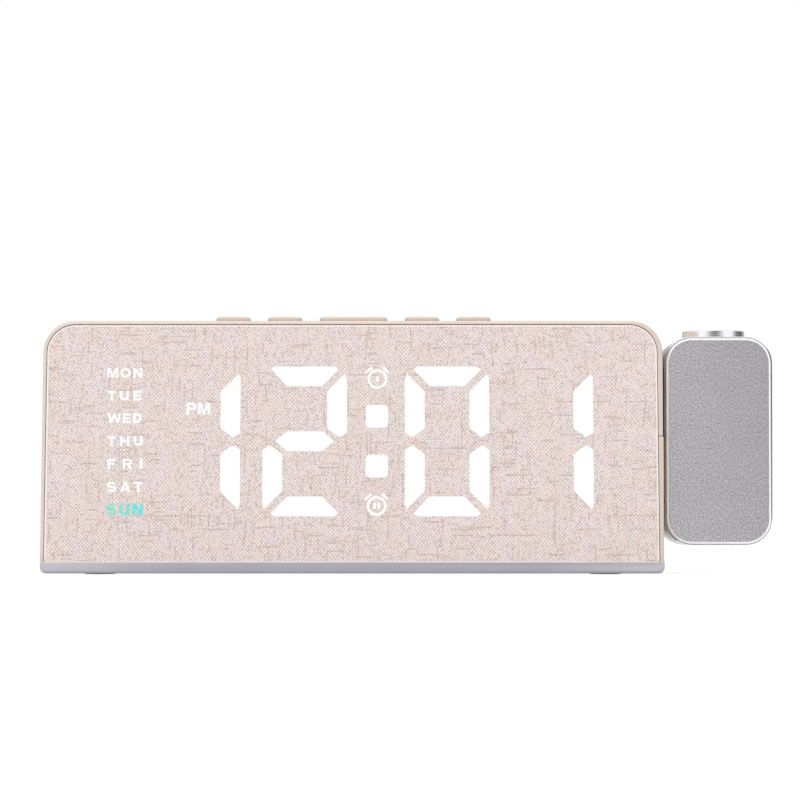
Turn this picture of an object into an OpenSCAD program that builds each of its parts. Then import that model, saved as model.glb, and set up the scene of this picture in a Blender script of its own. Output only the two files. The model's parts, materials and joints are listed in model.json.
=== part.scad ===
// Projection alarm clock: an LED clock behind a fabric face, with a projector head
// that swivels on its right end and a focus ring on top of the head.
// Millimetres. +X is the clock's right seen from the front, the front faces -Y, +Z is up.
// The origin is on the table, under the middle of the whole clock.

/* [Body] */
// Width of the body without the projector head
body_w = 161.6; // [158:0.1:190]
// Height of the body from the underside of the base to the roof
body_h = 65.8; // [65:0.1:80]
// Depth of the body at the base
base_d = 40; // [38:0.5:50]
// Lean of the front and rear faces from upright, in degrees
lean = 6; // [4:0.5:7]
// Radius of the body's two top corners
corner_r = 8.3; // [6:0.1:12]
// Radius of the base's two bottom corners
base_r = 1.6; // [0.8:0.1:2]
// Height of the base strip below the fabric face
base_h = 2.9; // [2.6:0.1:4.5]
// Wall of the housing
wall = 2.2; // [2:0.1:2.8]
// Rounding of the body's front and rear edges
edge_r = 0.6; // [0.3:0.1:0.7]
// Floor of the base
floor_t = 1.6; // [1.4:0.1:2]

/* [Fabric face] */
// Width of the housing's rims at the sides of its faces
rim_w = 0.8; // [0.7:0.1:1.1]
// Width of the housing's front rim beside the projector head
rim_right = 1.2; // [0.7:0.1:1.5]
// Width of the housing's rim over the top of the face
rim_top = 0.9; // [0.7:0.1:1.2]
// Gap between the rim and the fabric
face_gap = 0.26; // [0.15:0.01:0.4]
// Depth of the fabric below the rim
face_sink = 0.25; // [0.1:0.05:0.5]
// Thickness of the fabric
fabric_t = 0.5; // [0.3:0.1:0.8]
// Thickness of the clear plate that carries the fabric
panel_t = 2; // [1.5:0.1:2.5]

/* [Display] */
// Width of a digit
digit_w = 22.2; // [20:0.1:22.4]
// Height of a digit
digit_h = 39.3; // [36:0.1:41]
// Width of a digit's strokes
stroke = 5.2; // [4:0.1:5.6]
// Gap between neighbouring segments
segment_gap = 1; // [0.8:0.1:1.4]
// Height of the digits' middle above the underside of the base
digit_z = 34.45; // [33:0.05:36]
// Middle of the second hour digit, from the middle of the body
hour_x = -12.3; // [-13:0.1:-12]
// Middle of the first minute digit, from the middle of the body
minute_x = 24.8; // [24.5:0.1:26]
// Distance between the two hour digits
hour_pitch = 27.8; // [26.5:0.1:28.5]
// Distance between the two minute digits
minute_pitch = 26.9; // [26.5:0.1:27.5]
// Middle of the colon, from the middle of the body
colon_x = 6.4; // [6:0.1:6.6]
// Side of a colon square
colon_w = 5.8; // [4.5:0.1:6]
// Height of each colon square above or below the digits' middle
colon_dz = 6.5; // [6:0.1:8]
// Radius of the window of an alarm sign
sign_r = 3.1; // [2.6:0.1:3.2]
// Height of each alarm sign above or below the digits' middle
sign_dz = 16.6; // [15:0.1:16.8]
// Middle of the column of weekday windows, from the middle of the body
day_x = -59.1; // [-60:0.1:-58.5]
// Distance between weekday windows
day_pitch = 5.95; // [5:0.05:6.1]
// Width of a weekday window
day_w = 9.6; // [9:0.1:10]
// Height of a weekday window and of the AM and PM windows
day_h = 3.2; // [2.8:0.1:3.4]
// Width of the AM and PM windows
half_day_w = 7.2; // [6.6:0.1:8]
// Height of the AM and PM windows above or below the digits' middle
half_day_dz = 8.5; // [8:0.1:9]
// Depth of the light box
light_box_d = 5; // [4:0.1:6]
// Margin of the light box above and below the digits
light_margin = 2.4; // [2:0.1:3]
// Margin of the light box at its ends
light_end = 4.5; // [4:0.1:5]

/* [Buttons] */
// Width of a small button
button_w = 9.3; // [7:0.1:10]
// Width of the snooze button
snooze_w = 18.1; // [14:0.1:20]
// Depth of a button, front to back
button_d = 6.5; // [5.4:0.1:7]
// Height of the buttons above the roof
button_proud = 1.8; // [1.2:0.1:3]
// Rounding of the buttons' top edges
button_edge = 0.7; // [0.3:0.1:0.9]
// Distance from the middle to the inner pair of buttons
inner_x = 18.2; // [17.5:0.1:19]
// Distance from the middle to the outer pair of buttons
outer_x = 31.9; // [31.5:0.1:34]
// Travel of a button
button_travel = 0.5; // [0.3:0.05:0.6]
// Ledge that keeps a button under the roof
button_flange = 0.8; // [0.5:0.1:1]
// Clearance round a button in the roof
button_gap = 0.15; // [0.1:0.01:0.25]

/* [Projector head] */
// Gap between the body and the projector head
swivel_gap = 0.8; // [0.8:0.1:2]
// Width of the projector head
proj_w = 28.2; // [26:0.1:34]
// Depth of the projector head
proj_d = 24; // [24:0.5:28]
// Height of the projector head
proj_h = 54.7; // [53:0.1:56]
// Radius of the head's corners seen from the front
proj_r = 7; // [4:0.1:8]
// Height of the swivel axis above the underside of the base
swivel_z = 34.4; // [34:0.1:36]
// Wall of the head's shell
shell_t = 1.8; // [1.6:0.1:2]
// Rounding of the head's rear edges
shell_edge = 1.2; // [0.5:0.1:1.5]
// Rim of the shell left bare round the front plate
plate_rim = 0.42; // [0.3:0.01:0.6]
// Thickness of the front plate
plate_t = 1.6; // [1.4:0.1:2]
// Polished chamfer on the front plate
plate_chamfer = 0.65; // [0.4:0.05:0.8]

/* [Swivel] */
// Radius of the hollow swivel shaft
shaft_r = 4; // [3.5:0.1:4.4]
// Radius of the shaft's bore
shaft_bore_r = 2.4; // [1.6:0.1:2.6]
// Radius of the shaft's collar between the body and the head
collar_r = 7.5; // [6.5:0.1:8]
// Outer radius of the bush in the housing wall
bush_r = 6; // [5.5:0.1:6.4]
// Radius of the bush's flange
bush_flange_r = 7.5; // [7:0.1:8]
// Thickness of the bush's flange
bush_flange_t = 1.2; // [0.8:0.1:1.5]
// Radius of the boss inside the housing wall
pivot_boss_r = 9; // [8.5:0.1:10]
// Thickness of that boss
pivot_boss_t = 2.5; // [2:0.1:3]
// Thickness of the friction washer and of the clip
washer_t = 0.8; // [0.5:0.1:1]
// Thickness of the shaft nut inside the head
nut_t = 2.2; // [1.8:0.1:2.4]
// Radius of the projector's lead
lead_r = 0.8; // [0.5:0.1:1]

/* [Optics] */
// Outer radius of the focus ring
ring_r = 8.25; // [7.9:0.05:9]
// Height of the focus ring above the head
ring_proud = 2.1; // [2.1:0.1:4]
// Radius of the opening in the focus ring
aperture_r = 4.2; // [3.4:0.1:4.4]
// Radius of the sliding lens barrel
barrel_r = 5; // [4.9:0.05:5.1]
// Wall of the lens barrel
barrel_wall = 0.9; // [0.7:0.05:1]
// Length of the lens barrel
barrel_h = 15.8; // [12:0.1:18]
// Travel of the lens barrel each way
focus_travel = 1.05; // [0.6:0.05:1.1]
// Wall of the optic tube round the barrel
tube_wall = 1.15; // [1:0.05:1.2]
// Wall of the focus ring's skirt
skirt_wall = 0.75; // [0.6:0.05:0.8]
// Depth of the grooves turned in the focus ring
ring_groove = 0.1; // [0.05:0.01:0.15]
// Side of the segment display inside the optic tube
lcd_w = 7; // [5.5:0.1:7]

/* [Boards] */
// Thickness of the circuit boards
board_t = 1.6; // [1:0.1:1.8]
// Height of the main board above the base's floor
board_lift = 3.9; // [3.5:0.1:4.5]
// Left end of the main board, from the middle of the body
board_x0 = -40; // [-42:0.5:-38]
// Distance from the main board's right end to the outside of the housing
board_end = 9.75; // [8.75:0.25:10.25]
// Front edge of the main board
board_y0 = -11.5; // [-12:0.1:-11]
// Rear edge of the main board
board_y1 = 14.4; // [13.5:0.1:14.6]
// Half length of the button board
button_board_x = 45; // [44:0.5:48]
// Radius of the speaker
speaker_r = 12; // [9:0.5:12]
// Depth of the speaker
speaker_d = 6; // [4:0.5:8]
// Distance from the housing's left end to the middle of the speaker
speaker_end = 30.8; // [28.8:0.1:31]

/* [Rear] */
// Thickness of the rear cover
cover_t = 2; // [1.6:0.1:2.4]
// Gap round the rear cover
cover_gap = 0.2; // [0.1:0.05:0.3]
// Depth of the rear cover below the rim
cover_sink = 0.1; // [0:0.05:0.3]
// Height of the middle of the battery door and the speaker up the rear face
rear_z = 37; // [36:0.5:39]
// Middle of the battery door, from the middle of the body
door_x = 2; // [0:0.5:4]
// Side of the battery door
door_w = 24; // [23:0.5:26]
// Thickness of the battery door
door_t = 1.6; // [1.2:0.1:1.8]
// Radius of the coin cell
cell_r = 10; // [8:0.5:10]
// Thickness of the coin cell
cell_t = 3.2; // [2:0.1:3.6]
// Middle of the power socket, from the middle of the body
jack_x = 40; // [36:0.5:44]
// Middle of the USB socket, from the middle of the body
usb_x = 20; // [16:0.5:22]

/* [Fastenings] */
// Radius of the screws' shanks
screw_r = 1.1; // [0.9:0.05:1.2]
// Radius of the screws' heads
head_r = 2; // [1.8:0.1:2.1]
// Height of the screws' heads
head_t = 1.2; // [0.9:0.1:1.3]
// Radius of the housing's screw posts
post_r = 2.8; // [2.5:0.1:3]
// Radius of a rubber foot
foot_r = 4; // [3:0.5:4.5]
// Height of the feet below the base
foot_h = 0.3; // [0.2:0.05:0.8]
// Depth of a foot in its recess
foot_sunk = 0.7; // [0.5:0.05:0.8]
// Clearance of a shaft that turns or slides in a bore
running = 0.05; // [0.02:0.01:0.08]
// Clearance between pieces that are assembled and stay put
fit = 0.03; // [0.02:0.01:0.06]

/* [Hidden] */
$fn = 72;

// Extra length of a cutter past the face it opens
over = 1;
// Thickness of the slices that a rounded edge is lofted from
slice = 0.01;
// Slices in a rounded edge
edge_steps = 3;

// Overall width and the places that follow from it
total_w = body_w + swivel_gap + proj_w;
body_x = -(swivel_gap + proj_w) / 2;
head_x = (total_w - proj_w) / 2;
head_z = foot_h + swivel_z;
roof_z = foot_h + body_h;
roof_in = roof_z - wall;
base_top = foot_h + base_h;
floor_z = foot_h + floor_t;
face_h = body_h / cos(lean);

// Depths along the leaning front and rear faces
front_seat = face_sink + fabric_t + panel_t;
board_y = front_seat + light_box_d;
rear_seat = cover_sink + cover_t;

// Light box and display board
light_x0 = day_x - day_w / 2 - light_end;
light_x1 = minute_x + minute_pitch + digit_w / 2 + light_end;
light_z0 = digit_z - digit_h / 2 - light_margin;
light_z1 = digit_z + digit_h / 2 + light_margin;
DIGITS = [hour_x - hour_pitch, hour_x, minute_x, minute_x + minute_pitch];
DAYS = [for (row = [-3:3]) [day_x, digit_z + row * day_pitch]];
HALF_DAYS = [for (side = [-1, 1]) [DIGITS[0], digit_z + side * half_day_dz]];
COLON = [for (side = [-1, 1]) [colon_x, digit_z + side * colon_dz]];
SIGNS = [for (side = [-1, 1]) [colon_x, digit_z + side * sign_dz]];
// Middle of each of a digit's seven segments, from the middle of the digit
SEGMENT_CENTRES = [
    for (row = [-1:1]) [0, row * (digit_h - stroke) / 2],
    for (side = [-1, 1], row = [-1, 1]) [side * (digit_w - stroke) / 2, row * digit_h / 4]
];
LED_SIZE = [2, 0.8, 1.2];
display_screw_inset = 2.3;
DISPLAY_SCREWS = [
    for (x = [light_x0 + display_screw_inset, light_x1 - display_screw_inset], side = [-1, 1])
        [x, digit_z + side * digit_h / 3]
];
display_screw_r = 0.8;
display_screw_l = 4;

// Buttons hang from the roof, and their board from three posts
BUTTON_X = [-outer_x, -inner_x, inner_x, outer_x];
pin_len = 2.2;
pin_r = 1.5;
flange_t = 0.8;
switch_w = 6;
switch_h = 3;
switch_stem_r = 1.6;
switch_base_h = 2.4;
press_room = button_travel + running;
switch_top = roof_in - pin_len - press_room;
button_board_top = switch_top - switch_h;
button_board_t = 1.2;
button_board_y0 = -3.6;
button_board_y1 = 9;
button_post_r = 2.3;
BUTTON_POSTS = [[-41.5, 3], [0, 6.7], [41.5, 3]];

// Posts, standoffs and screws
base_post_x = body_w / 2 - wall - post_r + 0.5;
base_post_y = 9.5;
base_post_h = 10;
cover_post_l = 9;
cover_post_z = 19;
cover_post_top_x = body_w / 2 - 15;
cover_post_top_z = (roof_in - foot_h + rear_seat * sin(lean)) / cos(lean) - post_r + 1.2;
COVER_POSTS = [
    for (side = [-1, 1]) [side * cover_post_top_x, cover_post_top_z],
    for (side = [-1, 1]) [side * base_post_x, cover_post_z]
];
cover_screw_l = 8;
base_screw_l = 9;
standoff_r = 2.6;
standoff_inset = 4.5;
small_screw_r = 0.9;
small_head_r = 1.6;
small_head_t = 1;
small_screw_l = 3.5;
board_z = floor_z + board_lift;
board_top = board_z + board_t;
board_x1 = body_w / 2 - board_end;
STANDOFFS = [
    for (x = [board_x0 + standoff_inset, board_x1 - standoff_inset],
         y = [board_y0 + standoff_inset, board_y1 - standoff_inset]) [x, y]
];
lip_t = 1.2;
lip_h = 3;
lip_gap = 0.15;
front_wall = front_seat + 0.5;
FEET = [[-1, -1], [1, -1], [-1, 1], [1, 1]];
foot_x = body_w / 2 - 14.75;
foot_y = base_d / 2 - 9;

// Chips on the main board, each with the place of its corner and its size, and the flat cables
CHIPS = [
    [[-5, -6], [10, 10, 1.2]],
    [[-16, -4], [6, 5, 1.1]],
    [[10, -7], [8, 3, 2.4]]
];
capacitor_at = [29, -4];
capacitor_r = 3;
capacitor_h = 7;
cable_t = 0.4;
display_cable_w = 14;
display_cable_x = hour_x - 8;
display_cable_rise = 12;
button_cable_w = 8;
button_cable_y = 7;

// Swivel, along X from the outside of the housing's right wall
wall_out = body_x + body_w / 2;
wall_in = wall_out - wall;
boss_in = wall_in - pivot_boss_t;
flange_in = boss_in - bush_flange_t;
washer_in = flange_in - washer_t;
clip_in = washer_in - running - washer_t;
clip_groove = 0.6;
clip_reach = 2.5;
shaft_end = clip_in - 1.2;
shell_out = wall_out + swivel_gap;
shell_in = shell_out + shell_t;
collar_gap = 0.15;
nut_end = shell_in + nut_t;
shaft_tip = nut_end + 0.2;
nut_r = shaft_r + 1.7;
lead_meet_x = shaft_end - 1;
lead_bend = 2;
plug_size = [4, 6, 5];
plug_x = lead_meet_x - lead_bend;

// Head, from its own middle
shell_top = proj_h / 2;
plate_sunk = plate_t - plate_chamfer;
shell_front = -proj_d / 2 + plate_chamfer;
head_board_lift = 1.85;
head_board_z = -shell_top + shell_t + head_board_lift;
head_board_top = head_board_z + board_t;
head_post_r = 2;
head_post_y = 8;
HEAD_BOARD = [20, 19];
tube_bore = barrel_r + running;
tube_r = tube_bore + tube_wall;
tube_foot = [13, 19, 2];
tube_top = shell_top - 0.35;
web_z = -10.6;
web_t = 1.5;
web_r = 3.5;
condenser_h = 3.5;
condenser_sphere = 6.5;
lcd_t = 1.1;
skirt_in = tube_r + running;
skirt_r = skirt_in + skirt_wall;
ring_bottom = shell_top + 0.1;
ring_top = shell_top + ring_proud;
lip_bottom = ring_top - 0.85;
ring_clip_t = 0.6;
ring_clip_drop = 0.2;
ring_clip_z = shell_top - shell_t - ring_clip_drop - ring_clip_t;
ring_clip_groove = 0.3;
skirt_bottom = ring_clip_z - 1;
barrel_top = lip_bottom - focus_travel - 0.35;
barrel_bore = barrel_r - barrel_wall;
lens_r = barrel_r - 0.5;
lens_seat = barrel_top - 4.2;
lens_edge = 1.2;
lens_sphere = 9;
lens_sag = lens_sphere - sqrt(lens_sphere * lens_sphere - lens_r * lens_r);
retainer_r = lens_r - 0.6;
retainer_t = 1;

// Rear sockets and battery
jack_w = 9;
jack_h = 11;
jack_axis = board_top + 6.2;
jack_collar_r = 3.9;
jack_bore_r = 3;
jack_pin_r = 1;
jack_y0 = 3.5;
jack_y1 = 14.6;
jack_depth = 9;
USB = [13.1, 14.6, 5.7];
usb_wall = 0.4;
usb_tongue_t = 1.8;
usb_depth = 9;
socket_gap = 0.2;
cell_gap = 0.4;
pocket_r = cell_r + cell_gap;
door_gap = 0.2;
door_ledge_y = cover_sink + door_t;
cell_y = door_ledge_y + 0.5;
contact_t = 0.4;
pocket_y = cell_y + cell_t + contact_t;
tub_wall = 1;
speaker_x = speaker_end - body_w / 2;
speaker_rib = 1.2;
speaker_rib_h = 3;
grille_r = 0.8;
grille_pitch = 3.2;

// Y of the front face and of the rear face at height z
function front_y(z) = -base_d / 2 + (z - foot_h) * tan(lean);
function rear_y(z) = -front_y(z);

// Places its children on the leaning front face: x from the middle of the body,
// y into the body, z up the face from the underside of the base
module on_front() {
    translate([body_x, -base_d / 2, foot_h]) rotate([-lean, 0, 0]) children();
}

// The same on the rear face
module on_rear() {
    mirror([0, 1, 0]) on_front() children();
}

// Places its children at the middle of the projector head
module on_head() {
    translate([head_x, 0, head_z]) children();
}

// Upright outline of the body: w wide, h high, with rounded top and bottom corners
module body_outline(w, h, top_r, bottom_r = 0) {
    translate([-w / 2, bottom_r]) square([w, h - top_r - bottom_r]);
    translate([-w / 2 + bottom_r, 0]) square([w - 2 * bottom_r, h - top_r]);
    translate([-w / 2 + top_r, h - top_r - over]) square([w - 2 * top_r, top_r + over]);
    for (side = [-1, 1]) {
        translate([side * (w / 2 - top_r), h - top_r]) circle(top_r);
        if (bottom_r > 0) translate([side * (w / 2 - bottom_r), bottom_r]) circle(bottom_r);
    }
}

// Rounded rectangle about the origin
module round_rect(w, h, r) {
    square([w, h - 2 * r], center = true);
    square([w - 2 * r, h], center = true);
    for (x = [-1, 1], z = [-1, 1]) translate([x * (w / 2 - r), z * (h / 2 - r)]) circle(r);
}

// Stadium about the origin, w along X and d along Y
module stadium(w, d) {
    square([w - d, d], center = true);
    for (side = [-1, 1]) translate([side * (w - d) / 2, 0]) circle(d / 2);
}

// Stands a flat outline up in XZ, from y0 to y0 + t
module upright(y0, t) {
    translate([0, y0 + t, 0]) rotate([90, 0, 0]) linear_extrude(t) children();
}

// Cylinder along +Y from y0
module bar_y(r, y0, l) {
    translate([0, y0, 0]) rotate([-90, 0, 0]) cylinder(r = r, h = l);
}

// Cylinder along +X from x0
module bar_x(r, x0, l) {
    translate([x0, 0, 0]) rotate([0, 90, 0]) cylinder(r = r, h = l);
}

// Everything above height z
module above(z) {
    translate([-total_w, -base_d, z]) cube([2 * total_w, 2 * base_d, 2 * body_h]);
}

// Everything below height z
module below(z) {
    translate([-total_w, -base_d, z - body_h]) cube([2 * total_w, 2 * base_d, body_h]);
}

// Machine screw with its head's seat at the origin, shank along +Z and a cross recess
module screw(r, l, cap_r, cap_t) {
    difference() {
        union() {
            cylinder(r = r, h = l);
            translate([0, 0, -cap_t]) cylinder(r = cap_r, h = cap_t);
        }
        for (turn = [0, 90]) rotate(turn)
            translate([-cap_r * 0.6, -cap_r * 0.12, -cap_t - over])
                cube([cap_r * 1.2, cap_r * 0.24, cap_t * 0.5 + over]);
    }
}

// Outer form of the whole body: both leaning faces with rounded edges, lofted together
module body_form() {
    hull() for (side = [0, 1]) mirror([0, side, 0]) on_front()
        for (step = [0:edge_steps]) {
            angle = 90 * step / edge_steps;
            inset = edge_r * (1 - sin(angle));
            depth = edge_r * (1 - cos(angle));
            translate([0, 0, inset + depth * tan(lean)]) upright(depth, slice)
                body_outline(body_w - 2 * inset, face_h - 2 * inset, corner_r - inset,
                             base_r - inset, $fn = 40);
        }
}

// Rebate in a face for its panel: opens the face inside a rim w and right wide at its sides and t wide over it
module rebate(w, right, t, depth) {
    translate([(w - right) / 2, 0, -over]) upright(-over, depth + over)
        body_outline(body_w - w - right, face_h - t + over, corner_r - w);
}

// Plate that fills such a rebate down to the base, all round the gap inside the rim
module face_plate(w, right, t, gap, y0, thickness) {
    translate([(w - right) / 2, 0, 0]) upright(y0, thickness)
        body_outline(body_w - w - right - 2 * gap, face_h - t - gap, corner_r - w - gap);
}

// ---- Display segments ----

// Top or bottom segment: a trapezium with blunt tips, its long side at +Y
module end_segment() {
    outer = digit_w / 2 - stroke * 0.62;
    tip = outer + stroke * 0.2;
    inner = digit_w / 2 - stroke - segment_gap * 1.25;
    polygon([[-outer, stroke / 2], [outer, stroke / 2], [tip, stroke * 0.36],
             [inner, -stroke / 2], [-inner, -stroke / 2], [-tip, stroke * 0.36]]);
}

// Middle segment: a long hexagon
module middle_segment() {
    flat_x = digit_w / 2 - stroke - segment_gap * 1.15;
    tip = flat_x + stroke * 0.58;
    polygon([[-flat_x, stroke / 2], [flat_x, stroke / 2], [tip, 0],
             [flat_x, -stroke / 2], [-flat_x, -stroke / 2], [-tip, 0]]);
}

// Upper right segment, from the middle of the digit
module side_segment() {
    outer = digit_w / 2;
    inner = outer - stroke;
    top = digit_h / 2;
    polygon([[outer, segment_gap * 2.2], [outer, top - stroke * 0.65],
             [outer - stroke * 0.1, top - stroke * 0.42],
             [inner, top - stroke - segment_gap * 1.4], [inner, segment_gap * 3.4],
             [outer - stroke * 0.38, segment_gap]]);
}

// All seven segments of a digit
module digit_segments() {
    for (flip = [0, 1]) mirror([0, flip]) translate([0, (digit_h - stroke) / 2]) end_segment();
    middle_segment();
    for (x = [0, 1], y = [0, 1]) mirror([x, 0]) mirror([0, y]) side_segment();
}

// Every window of the display, drawn on the face
module display_windows() {
    for (x = DIGITS) translate([x, digit_z]) digit_segments();
    for (p = COLON) translate(p) square(colon_w, center = true);
    for (p = SIGNS) translate(p) circle(sign_r);
    for (p = DAYS) translate(p) square([day_w, day_h], center = true);
    for (p = HALF_DAYS) translate(p) square([half_day_w, day_h], center = true);
}

// ---- Body ----

module housing() {
    color("#e3d1c6") difference() {
        union() {
            difference() {
                body_form();
                below(base_top);
                translate([body_x, 0, -over]) upright(-base_d, 2 * base_d)
                    body_outline(body_w - 2 * wall, roof_in + over, corner_r - wall);
                on_front() rebate(rim_w, rim_right, rim_top, front_seat);
                on_rear() rebate(rim_w, rim_w, rim_top, rear_seat);
            }
            housing_posts();
        }
        button_holes();
        housing_screw_holes();
        translate([0, 0, head_z]) bar_x(bush_r + fit, boss_in - over, wall_out - boss_in + 2 * over);
    }
}

// Posts inside the housing for the rear cover, the base and the button board, and the pivot boss
module housing_posts() {
    on_rear() for (p = COVER_POSTS)
        translate([p[0], 0, p[1]]) bar_y(post_r, rear_seat, cover_post_l);
    for (x = [-1, 1], y = [-1, 1])
        translate([body_x + x * base_post_x, y * base_post_y, base_top])
            cylinder(r = post_r, h = base_post_h);
    for (p = BUTTON_POSTS)
        translate([body_x + p[0], p[1], button_board_top])
            cylinder(r = button_post_r, h = roof_in - button_board_top + wall / 2);
    translate([0, 0, head_z]) bar_x(pivot_boss_r, boss_in, pivot_boss_t + wall / 2);
}

// One stadium-shaped hole in the roof for each button
module button_holes() {
    translate([body_x, 0, roof_in - over]) linear_extrude(wall + 2 * over) {
        stadium(snooze_w + 2 * button_gap, button_d + 2 * button_gap);
        for (x = BUTTON_X) translate([x, 0])
            stadium(button_w + 2 * button_gap, button_d + 2 * button_gap);
    }
}

// Pilot holes in the housing's posts
module housing_screw_holes() {
    on_rear() for (p = COVER_POSTS) translate([p[0], 0, p[1]])
        bar_y(screw_r + fit, rear_seat - over, cover_screw_l + over);
    for (x = [-1, 1], y = [-1, 1])
        translate([body_x + x * base_post_x, y * base_post_y, base_top - over])
            cylinder(r = screw_r + fit, h = base_screw_l);
    for (p = BUTTON_POSTS)
        translate([body_x + p[0], p[1], button_board_top - over])
            cylinder(r = small_screw_r + fit, h = small_screw_l + over);
}

module base() {
    color("#adabb8") difference() {
        union() {
            difference() {
                intersection() {
                    body_form();
                    below(base_top);
                }
                base_hollow();
            }
            base_standoffs();
            base_lips();
        }
        base_holes();
    }
}

// The open tray inside the base's walls
module base_hollow() {
    depth = base_d - 2 * front_wall;
    translate([body_x - body_w / 2 + wall, -depth / 2, floor_z])
        cube([body_w - 2 * wall, depth, base_h]);
}

// Pads under the housing's posts and standoffs under the main board
module base_standoffs() {
    for (x = [-1, 1], y = [-1, 1])
        translate([body_x + x * base_post_x, y * base_post_y, foot_h + floor_t / 2])
            cylinder(r = post_r, h = base_h - floor_t / 2);
    for (p = STANDOFFS)
        translate([body_x + p[0], p[1], foot_h + floor_t / 2])
            cylinder(r = standoff_r, h = board_z - foot_h - floor_t / 2);
}

// Lips that locate the housing's side walls, the front panel and the rear cover
module base_lips() {
    side_l = 2 * (base_post_y - post_r - 1);
    for (side = [-1, 1])
        translate([body_x + side * (body_w / 2 - wall - lip_gap - lip_t / 2), 0,
                   (foot_h + floor_t / 2 + base_top + lip_h) / 2])
            cube([lip_t, side_l, base_h + lip_h - floor_t / 2], center = true);
    lip_w = body_w - 2 * (wall + 2 * post_r + 1);
    intersection() {
        for (side = [0, 1]) mirror([0, side, 0]) on_front()
            translate([-lip_w / 2, (side == 0 ? front_seat : rear_seat) + lip_gap, 0])
                cube([lip_w, lip_t, base_h + lip_h]);
        above(foot_h + floor_t / 2);
    }
}

// Screw holes, pilot holes and foot recesses of the base
module base_holes() {
    for (x = [-1, 1], y = [-1, 1])
        translate([body_x + x * base_post_x, y * base_post_y, foot_h - over]) {
            cylinder(r = screw_r + 2 * fit, h = base_h + 2 * over);
            cylinder(r = head_r + 0.2, h = head_t + over);
        }
    for (p = STANDOFFS)
        translate([body_x + p[0], p[1], board_z - small_screw_l + over])
            cylinder(r = small_screw_r + fit, h = small_screw_l);
    for (p = FEET)
        translate([body_x + p[0] * foot_x, p[1] * foot_y, foot_h - over])
            cylinder(r = foot_r + fit, h = foot_sunk + over);
}

module front_panel() {
    color("#f1efec") intersection() {
        on_front() face_plate(rim_w, rim_right, rim_top, face_gap, face_sink + fabric_t, panel_t);
        above(base_top);
    }
}

module fabric_face() {
    color("#e0d1cb") intersection() {
        on_front() face_plate(rim_w, rim_right, rim_top, face_gap, face_sink, fabric_t);
        above(base_top);
    }
}

module rear_cover() {
    color("#dccabe") difference() {
        union() {
            intersection() {
                on_rear() face_plate(rim_w, rim_w, rim_top, cover_gap, cover_sink, cover_t);
                above(base_top);
            }
            on_rear() translate([speaker_x, 0, rear_z])
                bar_y(speaker_r + fit + speaker_rib, rear_seat - over / 2, speaker_rib_h);
            on_rear() translate([door_x, 0, rear_z])
                battery_tub();
        }
        on_rear() translate([speaker_x, 0, rear_z]) {
            bar_y(speaker_r + fit, rear_seat, speaker_rib_h + over);
            speaker_grille();
        }
        on_rear() translate([door_x, 0, rear_z]) battery_pocket();
        on_rear() for (p = COVER_POSTS) translate([p[0], 0, p[1]]) {
            bar_y(screw_r + 2 * fit, -over, rear_seat + 2 * over);
            bar_y(head_r + 0.2, -over, head_t + cover_sink + over);
        }
        socket_holes();
    }
}

// Tub behind the cover: a square frame behind the door's ledge and a round cup for the coin cell
module battery_tub() {
    side = door_w + 2 * (door_gap + tub_wall);
    translate([-side / 2, rear_seat - over / 2, -side / 2]) cube([side, over / 2 + tub_wall, side]);
    bar_y(pocket_r + tub_wall, rear_seat - over / 2, pocket_y + tub_wall - rear_seat + over / 2);
}

// Round holes in rings over the speaker
module speaker_grille() {
    for (ring = [0:3], k = [0:max(0, ring * 6 - 1)])
        rotate([0, k * 360 / max(1, ring * 6), 0]) translate([ring * grille_pitch * speaker_r / 12, 0, 0])
            bar_y(grille_r, -over, rear_seat + 2 * over);
}

// Recess for the battery door and round pocket for the coin cell
module battery_pocket() {
    side = door_w + 2 * door_gap;
    translate([-side / 2, -over, -side / 2]) cube([side, door_ledge_y + over, side]);
    bar_y(pocket_r, 0, pocket_y);
}

// Holes in the rear cover for the power socket and the USB socket
module socket_holes() {
    translate([body_x + jack_x, 0, jack_axis]) bar_y(jack_collar_r + socket_gap, 0, base_d);
    translate([body_x + usb_x - USB[0] / 2 - socket_gap, 0, board_top - socket_gap])
        cube([USB[0] + 2 * socket_gap, base_d, USB[2] + 2 * socket_gap]);
}

// ---- Display ----

module light_box() {
    color("#f4f4f0") on_front() difference() {
        translate([light_x0, front_seat, light_z0])
            cube([light_x1 - light_x0, light_box_d, light_z1 - light_z0]);
        upright(front_seat - over, light_box_d + 2 * over) display_windows();
        for (p = DISPLAY_SCREWS) translate([p[0], 0, p[1]])
            bar_y(display_screw_r + fit, board_y + board_t - display_screw_l, display_screw_l);
    }
}

module display_board() {
    color("#f0f0ea") on_front() difference() {
        translate([light_x0, board_y, light_z0])
            cube([light_x1 - light_x0, board_t, light_z1 - light_z0]);
        for (p = DISPLAY_SCREWS) translate([p[0], 0, p[1]])
            bar_y(display_screw_r + fit, board_y - over, board_t + 2 * over);
    }
}

// One LED in each window of the light box
module display_leds() {
    centres = concat(
        [for (x = DIGITS, c = SEGMENT_CENTRES) [x + c[0], digit_z + c[1]]],
        COLON, SIGNS, DAYS, HALF_DAYS);
    color("#fff6d8") on_front() for (c = centres)
        translate([c[0] - LED_SIZE[0] / 2, board_y - LED_SIZE[1], c[1] - LED_SIZE[2] / 2])
            cube(LED_SIZE);
}

module display_screws() {
    color("#b9bcc0") on_front() for (p = DISPLAY_SCREWS)
        translate([p[0], board_y + board_t, p[1]]) rotate([90, 0, 0])
            screw(display_screw_r, display_screw_l, 1.5, 0.8);
}

// Flat flexible cable from the display board's back down to the main board
module display_ribbon() {
    color("#e9e4d2") intersection() {
        on_front() translate([display_cable_x - display_cable_w / 2, board_y + board_t, 0])
            cube([display_cable_w, cable_t, light_z0 + display_cable_rise]);
        above(board_top);
    }
}

// ---- Boards ----

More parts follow.
